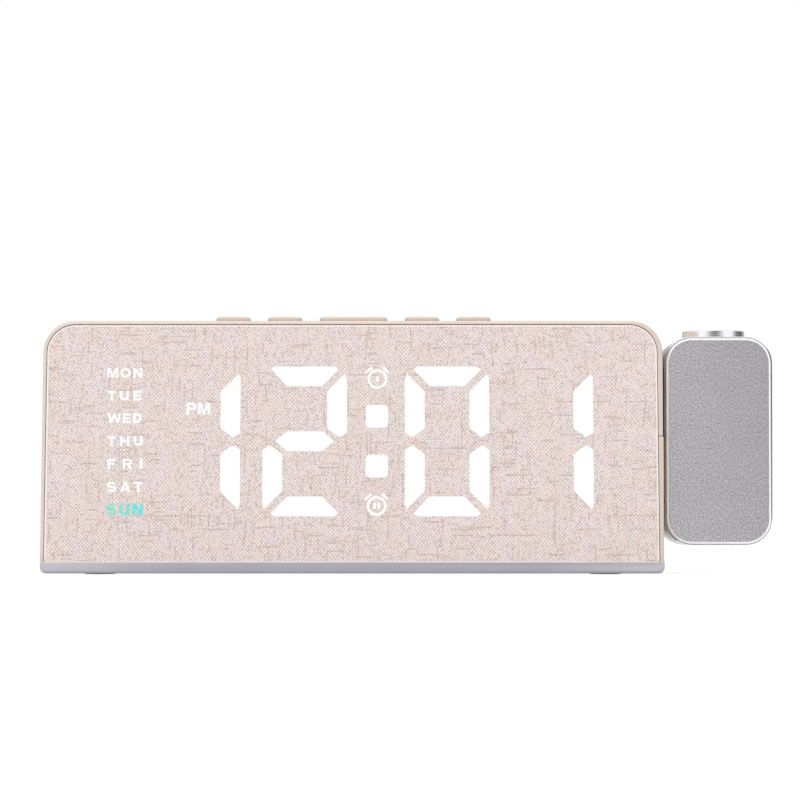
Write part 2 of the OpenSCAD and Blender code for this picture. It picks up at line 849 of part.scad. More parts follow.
module main_board() {
    color("#2f6b46") difference() {
        translate([body_x + board_x0, board_y0, board_z])
            cube([board_x1 - board_x0, board_y1 - board_y0, board_t]);
        for (p = STANDOFFS) translate([body_x + p[0], p[1], board_z - over])
            cylinder(r = small_screw_r + fit, h = board_t + 2 * over);
    }
}

// Clock chip, radio chip, crystal and capacitor on the main board
module board_chips() {
    color("#26272b") translate([body_x, 0, board_top]) {
        for (chip = CHIPS) translate(chip[0]) cube(chip[1]);
        translate(capacitor_at) cylinder(r = capacitor_r, h = capacitor_h);
    }
}

module board_screws() {
    color("#b9bcc0") for (p = STANDOFFS)
        translate([body_x + p[0], p[1], board_top]) rotate([180, 0, 0])
            screw(small_screw_r, small_screw_l, small_head_r, small_head_t);
}

module dc_jack() {
    collar_end = rear_y(jack_axis + jack_collar_r) - 0.2;
    color("#1d1d1f") translate([body_x + jack_x, 0, 0]) difference() {
        union() {
            translate([-jack_w / 2, jack_y0, board_top]) cube([jack_w, jack_y1 - jack_y0, jack_h]);
            translate([0, 0, jack_axis]) bar_y(jack_collar_r, jack_y1 - over, collar_end - jack_y1 + over);
        }
        translate([0, 0, jack_axis]) difference() {
            bar_y(jack_bore_r, collar_end - jack_depth, jack_depth + over);
            bar_y(jack_pin_r, collar_end - jack_depth - over, jack_depth + over - 0.5);
        }
    }
}

// Bent steel shell of the USB socket, closed at its back
module usb_shell() {
    usb_end = rear_y(board_top + USB[2]) - 0.2;
    color("#c6c8ca") difference() {
        translate([body_x + usb_x - USB[0] / 2, usb_end - USB[1], board_top]) cube(USB);
        translate([body_x + usb_x - USB[0] / 2 + usb_wall, usb_end - USB[1] + usb_wall,
                   board_top + usb_wall])
            cube([USB[0] - 2 * usb_wall, USB[1], USB[2] - 2 * usb_wall]);
    }
}

// Plastic insert of the USB socket, with the tongue that carries the contacts
module usb_tongue() {
    usb_end = rear_y(board_top + USB[2]) - 0.2;
    inside = [USB[0] - 2 * usb_wall, USB[1] - usb_wall - usb_depth, USB[2] - 2 * usb_wall];
    color("#1d1d1f") translate([body_x + usb_x, usb_end - USB[1] + usb_wall, board_top + usb_wall]) {
        translate([-inside[0] / 2, 0, 0]) cube(inside);
        translate([-inside[0] / 2 + 0.6, 0, inside[2] - usb_tongue_t - 0.5])
            cube([inside[0] - 1.2, inside[1] + usb_depth - 1, usb_tongue_t]);
    }
}

module button_board() {
    color("#2f6b46") difference() {
        translate([body_x - button_board_x, button_board_y0, button_board_top - button_board_t])
            cube([2 * button_board_x, button_board_y1 - button_board_y0, button_board_t]);
        for (p = BUTTON_POSTS)
            translate([body_x + p[0], p[1], button_board_top - button_board_t - over])
                cylinder(r = small_screw_r + fit, h = button_board_t + 2 * over);
    }
}

module button_screws() {
    color("#b9bcc0") for (p = BUTTON_POSTS)
        translate([body_x + p[0], p[1], button_board_top - button_board_t])
            screw(small_screw_r, small_screw_l, small_head_r, small_head_t);
}

// One momentary switch under each button
module tact_switches() {
    color("#2a2a2c") for (x = concat(BUTTON_X, [0]))
        translate([body_x + x, 0, button_board_top]) {
            translate([-switch_w / 2, -switch_w / 2, 0]) cube([switch_w, switch_w, switch_base_h]);
            cylinder(r = switch_stem_r, h = switch_h);
        }
}

// Flat flexible cable from the button board down to the main board
module button_ribbon() {
    cable_x = (speaker_x + speaker_r + speaker_rib + door_x - pocket_r) / 2;
    color("#e9e4d2") translate([body_x + cable_x - button_cable_w / 2, button_cable_y, board_top])
        cube([button_cable_w, cable_t, button_board_top - button_board_t - board_top]);
}

// ---- Buttons ----

// A button w wide: rounded cap, retaining ledge under the roof and a pin over its switch
module button(w) {
    color("#cbb9ab") translate([body_x, 0, roof_in]) {
        hull() for (step = [0:edge_steps]) {
            angle = 90 * step / edge_steps;
            inset = button_edge * (1 - cos(angle));
            translate([0, 0, wall + button_proud - button_edge * (1 - sin(angle)) - slice])
                linear_extrude(slice) stadium(w - 2 * inset, button_d - 2 * inset, $fn = 32);
        }
        linear_extrude(wall + button_proud - button_edge) stadium(w, button_d);
        translate([0, 0, -flange_t - running]) linear_extrude(flange_t)
            stadium(w + 2 * button_flange, button_d + 2 * button_flange);
        translate([0, 0, -running - slice]) linear_extrude(running + 2 * slice) stadium(w, button_d);
        translate([0, 0, -pin_len]) cylinder(r = pin_r, h = pin_len);
    }
}

module snooze_button() {
    button(snooze_w);
}

module left_inner_button() {
    translate([-inner_x, 0, 0]) button(button_w);
}

module left_outer_button() {
    translate([-outer_x, 0, 0]) button(button_w);
}

module right_inner_button() {
    translate([inner_x, 0, 0]) button(button_w);
}

module right_outer_button() {
    translate([outer_x, 0, 0]) button(button_w);
}

// ---- Rear fittings ----

module speaker() {
    color("#34353a") on_rear() translate([speaker_x, 0, rear_z]) difference() {
        union() {
            bar_y(speaker_r, rear_seat, speaker_d * 0.45);
            bar_y(speaker_r * 0.62, rear_seat, speaker_d);
        }
        bar_y(speaker_r - 1.5, rear_seat - over, over + 1);
        bar_y(speaker_r * 0.4, rear_seat - over, over + 1.8);
    }
}

module battery_door() {
    color("#dccabe") on_rear() translate([door_x, 0, rear_z]) difference() {
        translate([-door_w / 2, cover_sink, -door_w / 2]) cube([door_w, door_t, door_w]);
        for (k = [0:2]) translate([-door_w / 6, cover_sink - over, door_w / 2 - 3 - 1.4 * k])
            cube([door_w / 3, over + 0.4, 0.7]);
    }
}

module coin_cell() {
    color("#c9cbcd") on_rear() translate([door_x, 0, rear_z]) {
        bar_y(cell_r - 1, cell_y, 0.5);
        bar_y(cell_r, cell_y + 0.4, cell_t - 0.4);
    }
}

// Spring disc between the coin cell and the floor of its pocket
module cell_contact() {
    color("#d8c070") on_rear() translate([door_x, 0, rear_z])
        bar_y(cell_r * 0.5, cell_y + cell_t, contact_t);
}

module cover_screws() {
    color("#b9bcc0") on_rear() for (p = COVER_POSTS)
        translate([p[0], cover_sink + head_t, p[1]]) rotate([-90, 0, 0])
            screw(screw_r, cover_screw_l, head_r, head_t);
}

module base_screws() {
    color("#b9bcc0") for (x = [-1, 1], y = [-1, 1])
        translate([body_x + x * base_post_x, y * base_post_y, foot_h + head_t])
            screw(screw_r, base_screw_l, head_r, head_t);
}

// Rubber foot number k in its recess
module foot(k) {
    color("#3b3b3f") translate([body_x + FEET[k][0] * foot_x, FEET[k][1] * foot_y, 0])
        cylinder(r = foot_r, h = foot_h + foot_sunk);
}

// ---- Swivel ----

// Flanged bush in the housing's right wall
module pivot_bush() {
    color("#e8e6e0") translate([0, 0, head_z]) difference() {
        union() {
            bar_x(bush_r, flange_in, wall_out - flange_in);
            bar_x(bush_flange_r, flange_in, bush_flange_t);
        }
        bar_x(shaft_r + running, flange_in - over, wall_out - flange_in + 2 * over);
    }
}

module friction_washer() {
    color("#b08d57") translate([0, 0, head_z]) difference() {
        bar_x(bush_flange_r - 0.5, washer_in, washer_t);
        bar_x(shaft_r + 2 * running, washer_in - over, washer_t + 2 * over);
    }
}

// Spring clip in the shaft's groove, with the open side that it is pushed on from
module swivel_clip() {
    open_w = 2 * (shaft_r - clip_groove) * 0.8;
    color("#8f9296") translate([0, 0, head_z]) difference() {
        bar_x(shaft_r + clip_reach, clip_in, washer_t);
        bar_x(shaft_r - clip_groove + fit, clip_in - over, washer_t + 2 * over);
        translate([clip_in - over, -open_w / 2, 0])
            cube([washer_t + 2 * over, open_w, shaft_r + clip_reach + over]);
    }
}

// Hollow shaft with its collar, turned in one piece
module swivel_shaft() {
    color("#c2c4c6") translate([0, 0, head_z]) difference() {
        union() {
            bar_x(shaft_r, shaft_end, shaft_tip - shaft_end);
            bar_x(collar_r, wall_out + collar_gap, swivel_gap - collar_gap);
        }
        bar_x(shaft_bore_r, shaft_end - over, shaft_tip - shaft_end + 2 * over);
        difference() {
            bar_x(shaft_r + over, clip_in - fit, washer_t + 2 * fit);
            bar_x(shaft_r - clip_groove, clip_in - over, washer_t + 2 * over);
        }
    }
}

module shaft_nut() {
    color("#c9a961") translate([0, 0, head_z]) difference() {
        translate([shell_in, 0, 0]) rotate([0, 90, 0]) cylinder(r = nut_r, h = nut_t, $fn = 6);
        bar_x(shaft_r + fit, shell_in - over, nut_t + 2 * over);
    }
}

module lead_plug() {
    color("#f2efe6") translate([plug_x - plug_size[0] / 2, -plug_size[1] / 2, board_top])
        cube(plug_size);
}

// Quarter bend of the lead, from straight up at the origin round to +X
module lead_elbow() {
    translate([lead_bend, 0, 0]) rotate([90, 0, 0]) rotate(90)
        rotate_extrude(angle = 90) translate([lead_bend, 0]) circle(lead_r, $fn = 32);
}

// Lead from the plug on the main board up to the swivel axis
module board_lead() {
    rise = board_top + plug_size[2];
    color("#2a2a2c") {
        translate([plug_x, 0, rise]) cylinder(r = lead_r, h = head_z - lead_bend - rise, $fn = 32);
        translate([plug_x, 0, head_z - lead_bend]) lead_elbow();
    }
}

// The lead's other part, along the hollow shaft and down to the projector's board
module projector_lead() {
    drop = head_z + head_board_top;
    color("#2a2a2c") {
        translate([lead_meet_x, 0, head_z]) rotate([0, 90, 0])
            cylinder(r = lead_r, h = shaft_tip - lead_meet_x, $fn = 32);
        translate([shaft_tip + lead_bend, 0, head_z - lead_bend]) mirror([1, 0, 0]) lead_elbow();
        translate([shaft_tip + lead_bend, 0, drop])
            cylinder(r = lead_r, h = head_z - lead_bend - drop, $fn = 32);
    }
}

// ---- Projector head ----

module projector_shell() {
    inner_w = proj_w - 2 * shell_t;
    inner_h = proj_h - 2 * shell_t;
    color("#bfc0c2") on_head() difference() {
        union() {
            difference() {
                shell_form();
                upright(-proj_d, 1.5 * proj_d - shell_t)
                    round_rect(inner_w, inner_h, proj_r - shell_t);
            }
            for (side = [-1, 1])
                translate([0, side * head_post_y, -shell_top + shell_t / 2])
                    cylinder(r = head_post_r, h = head_board_z + shell_top - shell_t / 2);
        }
        upright(-proj_d, proj_d + shell_front + plate_sunk)
            round_rect(proj_w - 2 * plate_rim, proj_h - 2 * plate_rim, proj_r - plate_rim);
        translate([0, 0, shell_top - shell_t - over])
            cylinder(r = skirt_r + running, h = shell_t + 2 * over);
        bar_x(shaft_r + fit, -proj_w / 2 - over, shell_t + 2 * over);
        for (side = [-1, 1])
            translate([0, side * head_post_y, head_board_z - head_board_lift])
                cylinder(r = small_screw_r + fit, h = head_board_lift + over);
    }
}

// Outer form of the shell, with rounded edges at the rear
module shell_form() {
    back = proj_d / 2;
    hull() {
        upright(shell_front, back - shell_edge - shell_front)
            round_rect(proj_w, proj_h, proj_r, $fn = 40);
        for (step = [1:edge_steps]) {
            angle = 90 * step / edge_steps;
            inset = shell_edge * (1 - cos(angle));
            upright(back - shell_edge * (1 - sin(angle)) - slice, slice)
                round_rect(proj_w - 2 * inset, proj_h - 2 * inset, proj_r - inset, $fn = 40);
        }
    }
}

// Blasted front plate with a polished chamfer all round
module projector_plate() {
    w = proj_w - 2 * (plate_rim + fit);
    h = proj_h - 2 * (plate_rim + fit);
    r = proj_r - plate_rim - fit;
    color("#aaa8aa") on_head() hull() {
        upright(shell_front, plate_sunk) round_rect(w, h, r, $fn = 40);
        upright(-proj_d / 2, slice)
            round_rect(w - 2 * plate_chamfer, h - 2 * plate_chamfer, r - plate_chamfer, $fn = 40);
    }
}

module projector_board() {
    color("#2f6b46") on_head() difference() {
        translate([-HEAD_BOARD[0] / 2, -HEAD_BOARD[1] / 2, head_board_z])
            cube([HEAD_BOARD[0], HEAD_BOARD[1], board_t]);
        for (side = [-1, 1]) translate([0, side * head_post_y, head_board_z - over])
            cylinder(r = small_screw_r + fit, h = board_t + 2 * over);
    }
}

// Screws through the optic tube's foot and the board into the shell's posts
module projector_screws() {
    color("#b9bcc0") on_head() for (side = [-1, 1])
        translate([0, side * head_post_y, head_board_top + tube_foot[2]]) rotate([180, 0, 0])
            screw(small_screw_r, tube_foot[2] + board_t + 1.4, small_head_r, small_head_t);
}

module projector_led() {
    color("#fff6d8") on_head() translate([0, 0, head_board_top]) {
        translate([-2.5, -2.5, 0]) cube([5, 5, 1.2]);
        translate([0, 0, 1.2]) intersection() {
            sphere(1.8);
            cylinder(r = 2, h = 2);
        }
    }
}

// Black tube that holds the optics, standing on the projector's board
module optic_tube() {
    color("#1d1d1f") on_head() difference() {
        union() {
            translate([-tube_foot[0] / 2, -tube_foot[1] / 2, head_board_top]) cube(tube_foot);
            translate([0, 0, head_board_top]) cylinder(r = tube_r, h = tube_top - head_board_top);
        }
        translate([0, 0, head_board_top - over])
            cylinder(r = tube_bore, h = web_z - head_board_top + over);
        translate([0, 0, web_z - over]) cylinder(r = web_r, h = web_t + 2 * over);
        translate([0, 0, web_z + web_t])
            cylinder(r = tube_bore, h = tube_top - web_z - web_t + over);
        for (side = [-1, 1]) translate([0, side * head_post_y, head_board_top - over])
            cylinder(r = small_screw_r + fit, h = tube_foot[2] + 2 * over);
    }
}

// Lens that gathers the LED's light, flat side up against the tube's web
module condenser_lens() {
    color("#dfeef5") on_head() translate([0, 0, web_z - condenser_h]) intersection() {
        cylinder(r = tube_bore - running, h = condenser_h);
        translate([0, 0, condenser_sphere]) sphere(condenser_sphere);
    }
}

module segment_lcd() {
    color("#5f6b60") on_head() translate([-lcd_w / 2, -lcd_w / 2, web_z + web_t])
        cube([lcd_w, lcd_w, lcd_t]);
}

// Barrel that slides in the optic tube as the focus ring turns
module lens_barrel() {
    color("#1d1d1f") on_head() difference() {
        translate([0, 0, barrel_top - barrel_h]) cylinder(r = barrel_r, h = barrel_h);
        translate([0, 0, barrel_top - barrel_h - over]) cylinder(r = barrel_bore, h = barrel_h);
        translate([0, 0, lens_seat])
            cylinder(r = lens_r + fit, h = barrel_top - lens_seat + over);
    }
}

module projection_lens() {
    color("#dfeef5") on_head() translate([0, 0, lens_seat]) intersection() {
        cylinder(r = lens_r, h = lens_edge + lens_sag);
        translate([0, 0, lens_edge + lens_sag - lens_sphere]) sphere(lens_sphere, $fn = 96);
    }
}

// Ring that holds the lens down in its barrel
module lens_retainer() {
    rise = sqrt(lens_sphere * lens_sphere - retainer_r * retainer_r) - (lens_sphere - lens_sag);
    color("#1d1d1f") on_head() translate([0, 0, lens_seat + lens_edge + rise + running]) difference() {
        cylinder(r = lens_r, h = retainer_t);
        translate([0, 0, -over]) cylinder(r = retainer_r, h = retainer_t + 2 * over);
    }
}

// Turned ring on top of the head, with a skirt that runs between the shell and the optic tube
module focus_ring() {
    grip_h = ring_top - ring_bottom;
    grooves = 4;
    pitch = grip_h / (grooves + 1);
    grip = [for (k = [1:grooves], edge = [-1, 1], side = [0, 1])
        [ring_r - (side == (edge < 0 ? 1 : 0) ? ring_groove : 0),
         ring_bottom + k * pitch + edge * pitch * 0.12]];
    bevel = 0.3;
    color("#c4c5c7") on_head() rotate_extrude() polygon(concat(
        [[skirt_in, skirt_bottom], [skirt_r, skirt_bottom],
         [skirt_r, ring_clip_z - fit], [skirt_r - ring_clip_groove, ring_clip_z - fit],
         [skirt_r - ring_clip_groove, ring_clip_z + ring_clip_t + fit],
         [skirt_r, ring_clip_z + ring_clip_t + fit],
         [skirt_r, ring_bottom], [ring_r, ring_bottom]],
        grip,
        [[ring_r, ring_top - bevel], [ring_r - bevel, ring_top],
         [aperture_r + bevel, ring_top], [aperture_r, ring_top - bevel],
         [aperture_r, lip_bottom], [skirt_in, lip_bottom]]));
}

// Clip under the head's top wall that keeps the focus ring in
module ring_clip() {
    color("#8f9296") on_head() translate([0, 0, ring_clip_z]) difference() {
        cylinder(r = skirt_r + 1, h = ring_clip_t);
        translate([0, 0, -over])
            cylinder(r = skirt_r - ring_clip_groove + fit, h = ring_clip_t + 2 * over);
    }
}

housing();
base();
rear_cover();
front_panel();
fabric_face();
light_box();
display_board();
display_leds();
display_screws();
display_ribbon();
main_board();
board_chips();
board_screws();
dc_jack();
usb_shell();
usb_tongue();
button_board();
button_screws();
tact_switches();
button_ribbon();
snooze_button();
left_inner_button();
left_outer_button();
right_inner_button();
right_outer_button();
speaker();
battery_door();
coin_cell();
cell_contact();
cover_screws();
base_screws();
foot(0);  // front_left_foot
foot(1);  // front_right_foot
foot(2);  // rear_left_foot
foot(3);  // rear_right_foot
pivot_bush();
friction_washer();
swivel_clip();
swivel_shaft();
shaft_nut();
lead_plug();
board_lead();
projector_lead();
projector_shell();
projector_plate();
projector_board();
projector_screws();
projector_led();
optic_tube();
condenser_lens();
segment_lcd();
lens_barrel();
projection_lens();
lens_retainer();
focus_ring();
ring_clip();
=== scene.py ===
"""Projection alarm clock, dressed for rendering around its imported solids.

Lengths in the helpers are millimetres; a mesh is scaled to metres when it is made.
"""

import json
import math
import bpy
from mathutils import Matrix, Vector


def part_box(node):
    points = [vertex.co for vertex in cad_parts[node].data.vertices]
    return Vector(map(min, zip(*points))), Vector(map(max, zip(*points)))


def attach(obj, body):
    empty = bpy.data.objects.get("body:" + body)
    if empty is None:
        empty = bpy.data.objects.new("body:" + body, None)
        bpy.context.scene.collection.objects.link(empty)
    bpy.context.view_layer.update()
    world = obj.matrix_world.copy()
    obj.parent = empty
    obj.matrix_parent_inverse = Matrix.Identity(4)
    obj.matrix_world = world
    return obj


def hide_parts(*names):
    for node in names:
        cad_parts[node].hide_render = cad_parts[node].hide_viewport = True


bl_info = {
    "name": "Projection alarm clock",
    "version": (1, 0, 0),
    "blender": (4, 5, 0),
    "location": "3D View > Sidebar > Clock",
    "description": "Builds the shells, fabric face, lit display and finishes of a projection alarm clock",
    "category": "Object",
}

from types import SimpleNamespace

import bmesh
import bpy
import numpy as np
from bpy.props import FloatProperty, FloatVectorProperty, PointerProperty
from mathutils import Vector
from mathutils.geometry import tessellate_polygon

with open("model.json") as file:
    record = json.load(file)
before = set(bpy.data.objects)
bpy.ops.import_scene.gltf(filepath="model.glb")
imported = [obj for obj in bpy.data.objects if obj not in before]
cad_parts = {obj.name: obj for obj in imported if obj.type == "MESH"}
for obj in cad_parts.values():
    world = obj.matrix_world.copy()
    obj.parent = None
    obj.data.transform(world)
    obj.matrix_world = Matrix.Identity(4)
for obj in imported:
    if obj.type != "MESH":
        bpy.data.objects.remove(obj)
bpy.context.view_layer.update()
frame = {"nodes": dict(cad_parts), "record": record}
MM = 0.001


def node_box(name):
    """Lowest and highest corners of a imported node, in millimetres."""
    low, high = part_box(name)
    return np.array(low) / MM, np.array(high) / MM


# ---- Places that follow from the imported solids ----

BODY_LOW, BODY_HIGH = node_box("housing")
HEAD_LOW, HEAD_HIGH = node_box("projector_shell")
PLATE_LOW, PLATE_HIGH = node_box("projector_plate")
BODY_X = (BODY_LOW[0] + BODY_HIGH[0]) / 2
BODY_W = BODY_HIGH[0] - BODY_LOW[0]
ROOF_Z = BODY_HIGH[2]
BASE_TOP = BODY_LOW[2]
FOOT_H = node_box("base")[0][2]
LEAN = math.radians(6)
BASE_D = 40.0
FACE_H = (ROOF_Z - FOOT_H) / math.cos(LEAN)
FACE_FOOT = (BASE_TOP - FOOT_H) / math.cos(LEAN)
HEAD_X = (HEAD_LOW[0] + HEAD_HIGH[0]) / 2
HEAD_Z = (HEAD_LOW[2] + HEAD_HIGH[2]) / 2
HEAD_W = HEAD_HIGH[0] - HEAD_LOW[0]
HEAD_H = HEAD_HIGH[2] - HEAD_LOW[2]
HEAD_TOP = HEAD_HIGH[2]
WALL = 2.2
ROOF_IN = ROOF_Z - WALL


def srgb(red, green, blue):
    """Scene-linear colour of an 8-bit display colour."""
    c = np.array([red, green, blue]) / 255
    return tuple(np.where(c <= 0.04045, c / 12.92, ((c + 0.055) / 1.055) ** 2.4).tolist())


def length(name, default, description):
    """A length property, written in millimetres."""
    return FloatProperty(name=name, default=default * MM, description=description, min=0.0, max=0.2,
                         precision=5, subtype="DISTANCE", unit="LENGTH")


def in_mm(group):
    """The lengths of a property group, in millimetres."""
    return SimpleNamespace(**{name: getattr(group, name) / MM for name in group.__annotations__})


def in_rgb(group):
    """The colours of a property group, as plain numbers."""
    return SimpleNamespace(**{name: tuple(getattr(group, name)) for name in group.__annotations__})


def colour(name, default, description):
    """A colour property whose default is an 8-bit display colour."""
    return FloatVectorProperty(name=name, default=srgb(*default), description=description,
                               subtype="COLOR", size=3, min=0.0, max=1.0)


class ClockSizes(bpy.types.PropertyGroup):
    """Sizes of the visible shells"""

    corner_r: length("Corner radius", 8.3, "Radius of the body's two top corners")
    edge_r: length("Edge rounding", 0.6, "Rounding of the body's front and rear edges")
    rim_w: length("Rear rim", 0.8, "Width of the housing's rim beside the rear cover")
    rim_left: length("Left side rim", 0.9, "Width of the housing's rim at the fabric's left side")
    rim_right: length("Right side rim", 1.2, "Width of the housing's rim at the fabric's right side")
    rim_top: length("Top rim", 0.9, "Width of the housing's rim over the fabric")
    front_seat: length("Front rebate", 2.75, "Depth of the housing's front rebate")
    rear_seat: length("Rear rebate", 2.1, "Depth of the housing's rear rebate")
    face_gap: length("Fabric gap", 0.13, "Gap between the rim and the fabric")
    face_sink: length("Fabric depth", 0.25, "Depth of the fabric below the rim")
    fabric_t: length("Fabric thickness", 0.5, "Thickness of the fabric")
    parting_z: length("Parting line", 35.88, "Height of the parting line across the rim's right side")
    parting_step: length("Parting step", 0.16, "Step of the housing's right side at its parting line")
    button_d: length("Button depth", 6.5, "Depth of a button, front to back")
    button_edge: length("Button rounding", 0.7, "Rounding of a button's top edge")
    head_r: length("Head corner radius", 7.0, "Radius of the head's corners")
    head_rim: length("Head rim", 0.33, "Rim of the shell left round the front plate")
    head_chamfer: length("Head chamfer", 0.5, "Width of the front plate's polished chamfer")
    chamfer_d: length("Chamfer depth", 0.32, "Depth of the front plate's polished chamfer")


class ClockDisplay(bpy.types.PropertyGroup):
    """Sizes of the lit display"""

    digit_w: length("Digit width", 22.0, "Width of a digit")
    digit_h: length("Digit height", 39.3, "Height of a digit")
    stroke: length("Stroke", 5.2, "Width of a digit's segments")
    gap: length("Segment gap", 1.0, "Gap between neighbouring segments")
    digit_z: length("Digit middle", 34.45, "Height of the digits' middle up the face")
    proud: length("Light depth", 0.05, "How far the lit shapes stand over the cloth")


class ClockColours(bpy.types.PropertyGroup):
    """Colours of the pieces"""

    # The housing's colours are lit and shaded copies of one plastic: the roof's is a painted highlight, the
    # ends' and the foot's are painted shade
    shell: colour("Housing roof", (229, 212, 202), "Moulded plastic of the housing's roof")
    shell_left_shaded: colour("Housing, left", (221, 205, 195), "Housing, rear cover and door at the left end")
    shell_right_shaded: colour("Housing, right", (217, 197, 184), "The same plastic at the right end")
    shell_low_shaded: colour("Housing foot", (192, 188, 190), "Housing just above the base")
    base: colour("Base", (165, 163, 176), "Moulded plastic of the base strip")
    base_end: colour("Base ends", (188, 185, 191), "Base strip at its ends")
    # Painted highlight on the base's top edge, and painted shade along its lower edge
    base_top_highlight: colour("Base top", (222, 212, 210), "Base strip at its top edge")
    base_low_shade: colour("Base foot", (164, 163, 171), "Base strip at its lower edge")
    button: colour("Buttons", (219, 203, 192), "Moulded plastic of the buttons")
    # Painted cool shade on the buttons' round ends
    button_end_shade: colour("Button ends", (192, 199, 200), "Round ends of the buttons")
    cloth: colour("Cloth", (250, 235, 233), "Light yarn of the fabric face")
    cloth_warm: colour("Warm cloth", (250, 232, 221), "Light yarn where the cloth is warmer")
    cloth_cool: colour("Cool cloth", (246, 238, 237), "Light yarn where the cloth is cooler")
    # Painted highlight where the cloth turns over the panel's edge
    cloth_edge_highlight: colour("Cloth edge", (255, 250, 246), "Cloth where it turns over the panel's edge")
    cloth_dark: colour("Cloth shade", (176, 158, 152), "Shade between the yarns")
    slub: colour("Slub yarn", (190, 156, 144), "Red-brown slub yarns in the cloth")
    light: colour("Display light", (255, 255, 255), "Lit digits, signs and names")
    sunday: colour("Sunday light", (158, 242, 226), "Lit name of Sunday, at its outer end")
    sunday_far: colour("Sunday light, inner", (118, 246, 246), "Lit name of Sunday, at its inner end")
    sunday_glow: colour("Sunday glow", (198, 228, 219), "Glow in the cloth round the name of Sunday")
    metal: colour("Head shell", (200, 200, 203), "Satin aluminium of the head's shell")
    plate: colour("Head plate", (194, 192, 195), "Blasted aluminium of the head's plate")


class ClockStudio(bpy.types.PropertyGroup):
    """Camera and lights"""

    focal: FloatProperty(name="Lens", default=121.14, min=20, max=300,
                         description="Focal length of the camera, in mm on a 36 mm sensor")
    sky: FloatProperty(name="Soft light", default=1.1, min=0, max=3,
                       description="Strength of the even light from all round")
    key: FloatProperty(name="Front lamp", default=0.9, min=0, max=20,
                       description="Power of the large soft lamp over the camera, in watts")


# ---- Mesh helpers ----


def add_mesh(name, points, faces, sharp=35):
    """A mesh object from points in millimetres and lists of corner numbers, at the origin.
    Its doubles are merged, its faces turned outwards and its edges over `sharp` degrees kept sharp."""
    mesh = bpy.data.meshes.new(name)
    mesh.from_pydata((np.asarray(points, float) * MM).tolist(), [], faces)
    obj = bpy.data.objects.new(name, mesh)
    bpy.context.scene.collection.objects.link(obj)
    clean(obj, sharp)
    return obj


def clean(obj, sharp=35, outward=True, merge=1e-6):
    """Merges doubles, turns faces outwards and marks sharp edges."""
    bm = bmesh.new()
    bm.from_mesh(obj.data)
    bmesh.ops.remove_doubles(bm, verts=bm.verts, dist=merge)
    bmesh.ops.dissolve_degenerate(bm, edges=bm.edges, dist=1e-7)
    if outward:
        bmesh.ops.recalc_face_normals(bm, faces=bm.faces)
    bm.to_mesh(obj.data)
    bm.free()
    smooth(obj, sharp)


def smooth(obj, sharp=35):
    """Smooth shading with sharp edges over an angle, weighted by the faces' areas."""
    mesh = obj.data
    mesh.polygons.foreach_set("use_smooth", np.ones(len(mesh.polygons), bool))
    mesh.set_sharp_from_angle(angle=math.radians(sharp))
    if "weighted" not in obj.modifiers:
        weighted = obj.modifiers.new("weighted", "WEIGHTED_NORMAL")
        weighted.keep_sharp = True
        weighted.weight = 80


def mesh_points(obj):
    """The points of a mesh, in millimetres."""
    coords = np.empty(len(obj.data.vertices) * 3)
    obj.data.vertices.foreach_get("co", coords)
    return coords.reshape(-1, 3) / MM


def add_value(obj, name, values):
    """Gives each point of a mesh a value that its material reads."""
    obj.data.attributes.new(name, "FLOAT", "POINT").data.foreach_set("value", np.asarray(values, np.float32))


def quads(rows, columns, closed):
    """Corner numbers of the four-sided faces of a grid of points, closed along its columns or not."""
    r, c = np.arange(rows - 1)[:, None] * columns, np.arange(columns if closed else columns - 1)
    n = (c + 1) % columns
    return np.stack([r + c, r + n, r + columns + n, r + columns + c], -1).reshape(-1, 4).tolist()


def loft(name, rings, loop=False, sharp=35):
    """Closed surface through rings of points, an array of rings x points x 3.
    Both ends are capped, or with `loop` the last ring joins the first."""
    rings = np.asarray(rings, float)
    if loop:
        rings = np.concatenate([rings, rings[:1]])
    rows, columns = rings.shape[:2]
    faces = quads(rows, columns, True)
    if not loop:
        faces += [list(range(columns)), list(range((rows - 1) * columns, rows * columns))]
    return add_mesh(name, rings.reshape(-1, 3), faces, sharp)


def revolve(profile, turns=96):
    """Rings of a profile of (radius, height) turned about an upright axis: point = (r cos t, r sin t, h)."""
    profile = np.asarray(profile, float)
    t = np.linspace(0, 2 * np.pi, turns, endpoint=False)
    r, h = profile[:, 0, None], profile[:, 1, None]
    return np.stack([r * np.cos(t), r * np.sin(t), h + 0 * t], -1)


def level(outline, height):
    """A flat outline laid level at a height."""
    return np.column_stack([outline, np.full(len(outline), height)])


def per_face(obj, name):
    """Three numbers for each face of a mesh, such as its normal or its middle."""
    numbers = np.empty(len(obj.data.polygons) * 3)
    obj.data.polygons.foreach_get(name, numbers)
    return numbers.reshape(-1, 3)


def paint_faces(obj, material, chosen):
    """Gives the chosen faces of a piece a second material."""
    obj.data.materials.append(material)
    obj.data.polygons.foreach_set("material_index", chosen.astype(int))


def round_rect(w, h, r, steps=14):
    """Outline of a rounded rectangle about the origin: each corner is its centre plus r (cos t, sin t)."""
    t = np.linspace(0, np.pi / 2, steps)
    corners = []
    for k, (side, end) in enumerate([(1, 1), (-1, 1), (-1, -1), (1, -1)]):
        a = t + k * np.pi / 2
        corners.append([side * (w / 2 - r) + r * np.cos(a), end * (h / 2 - r) + r * np.sin(a)])
    return np.concatenate(corners, 1).T


def rounding(radius, steps=6):
    """Inset and depth of a quarter-round edge: inset = r (1 - sin t), depth = r (1 - cos t)."""
    t = np.linspace(0, np.pi / 2, steps)
    return np.stack([radius * (1 - np.sin(t)), radius * (1 - np.cos(t))], -1)


def on_front(x, z, depth):
    """World point of the leaning front face: x from the body's middle, z up the face, depth into the body."""
    x, z, depth = np.broadcast_arrays(*(np.asarray(a, float) for a in (x, z, depth)))
    return np.stack([BODY_X + x, -BASE_D / 2 + depth * math.cos(LEAN) + z * math.sin(LEAN),
                     FOOT_H - depth * math.sin(LEAN) + z * math.cos(LEAN)], -1)


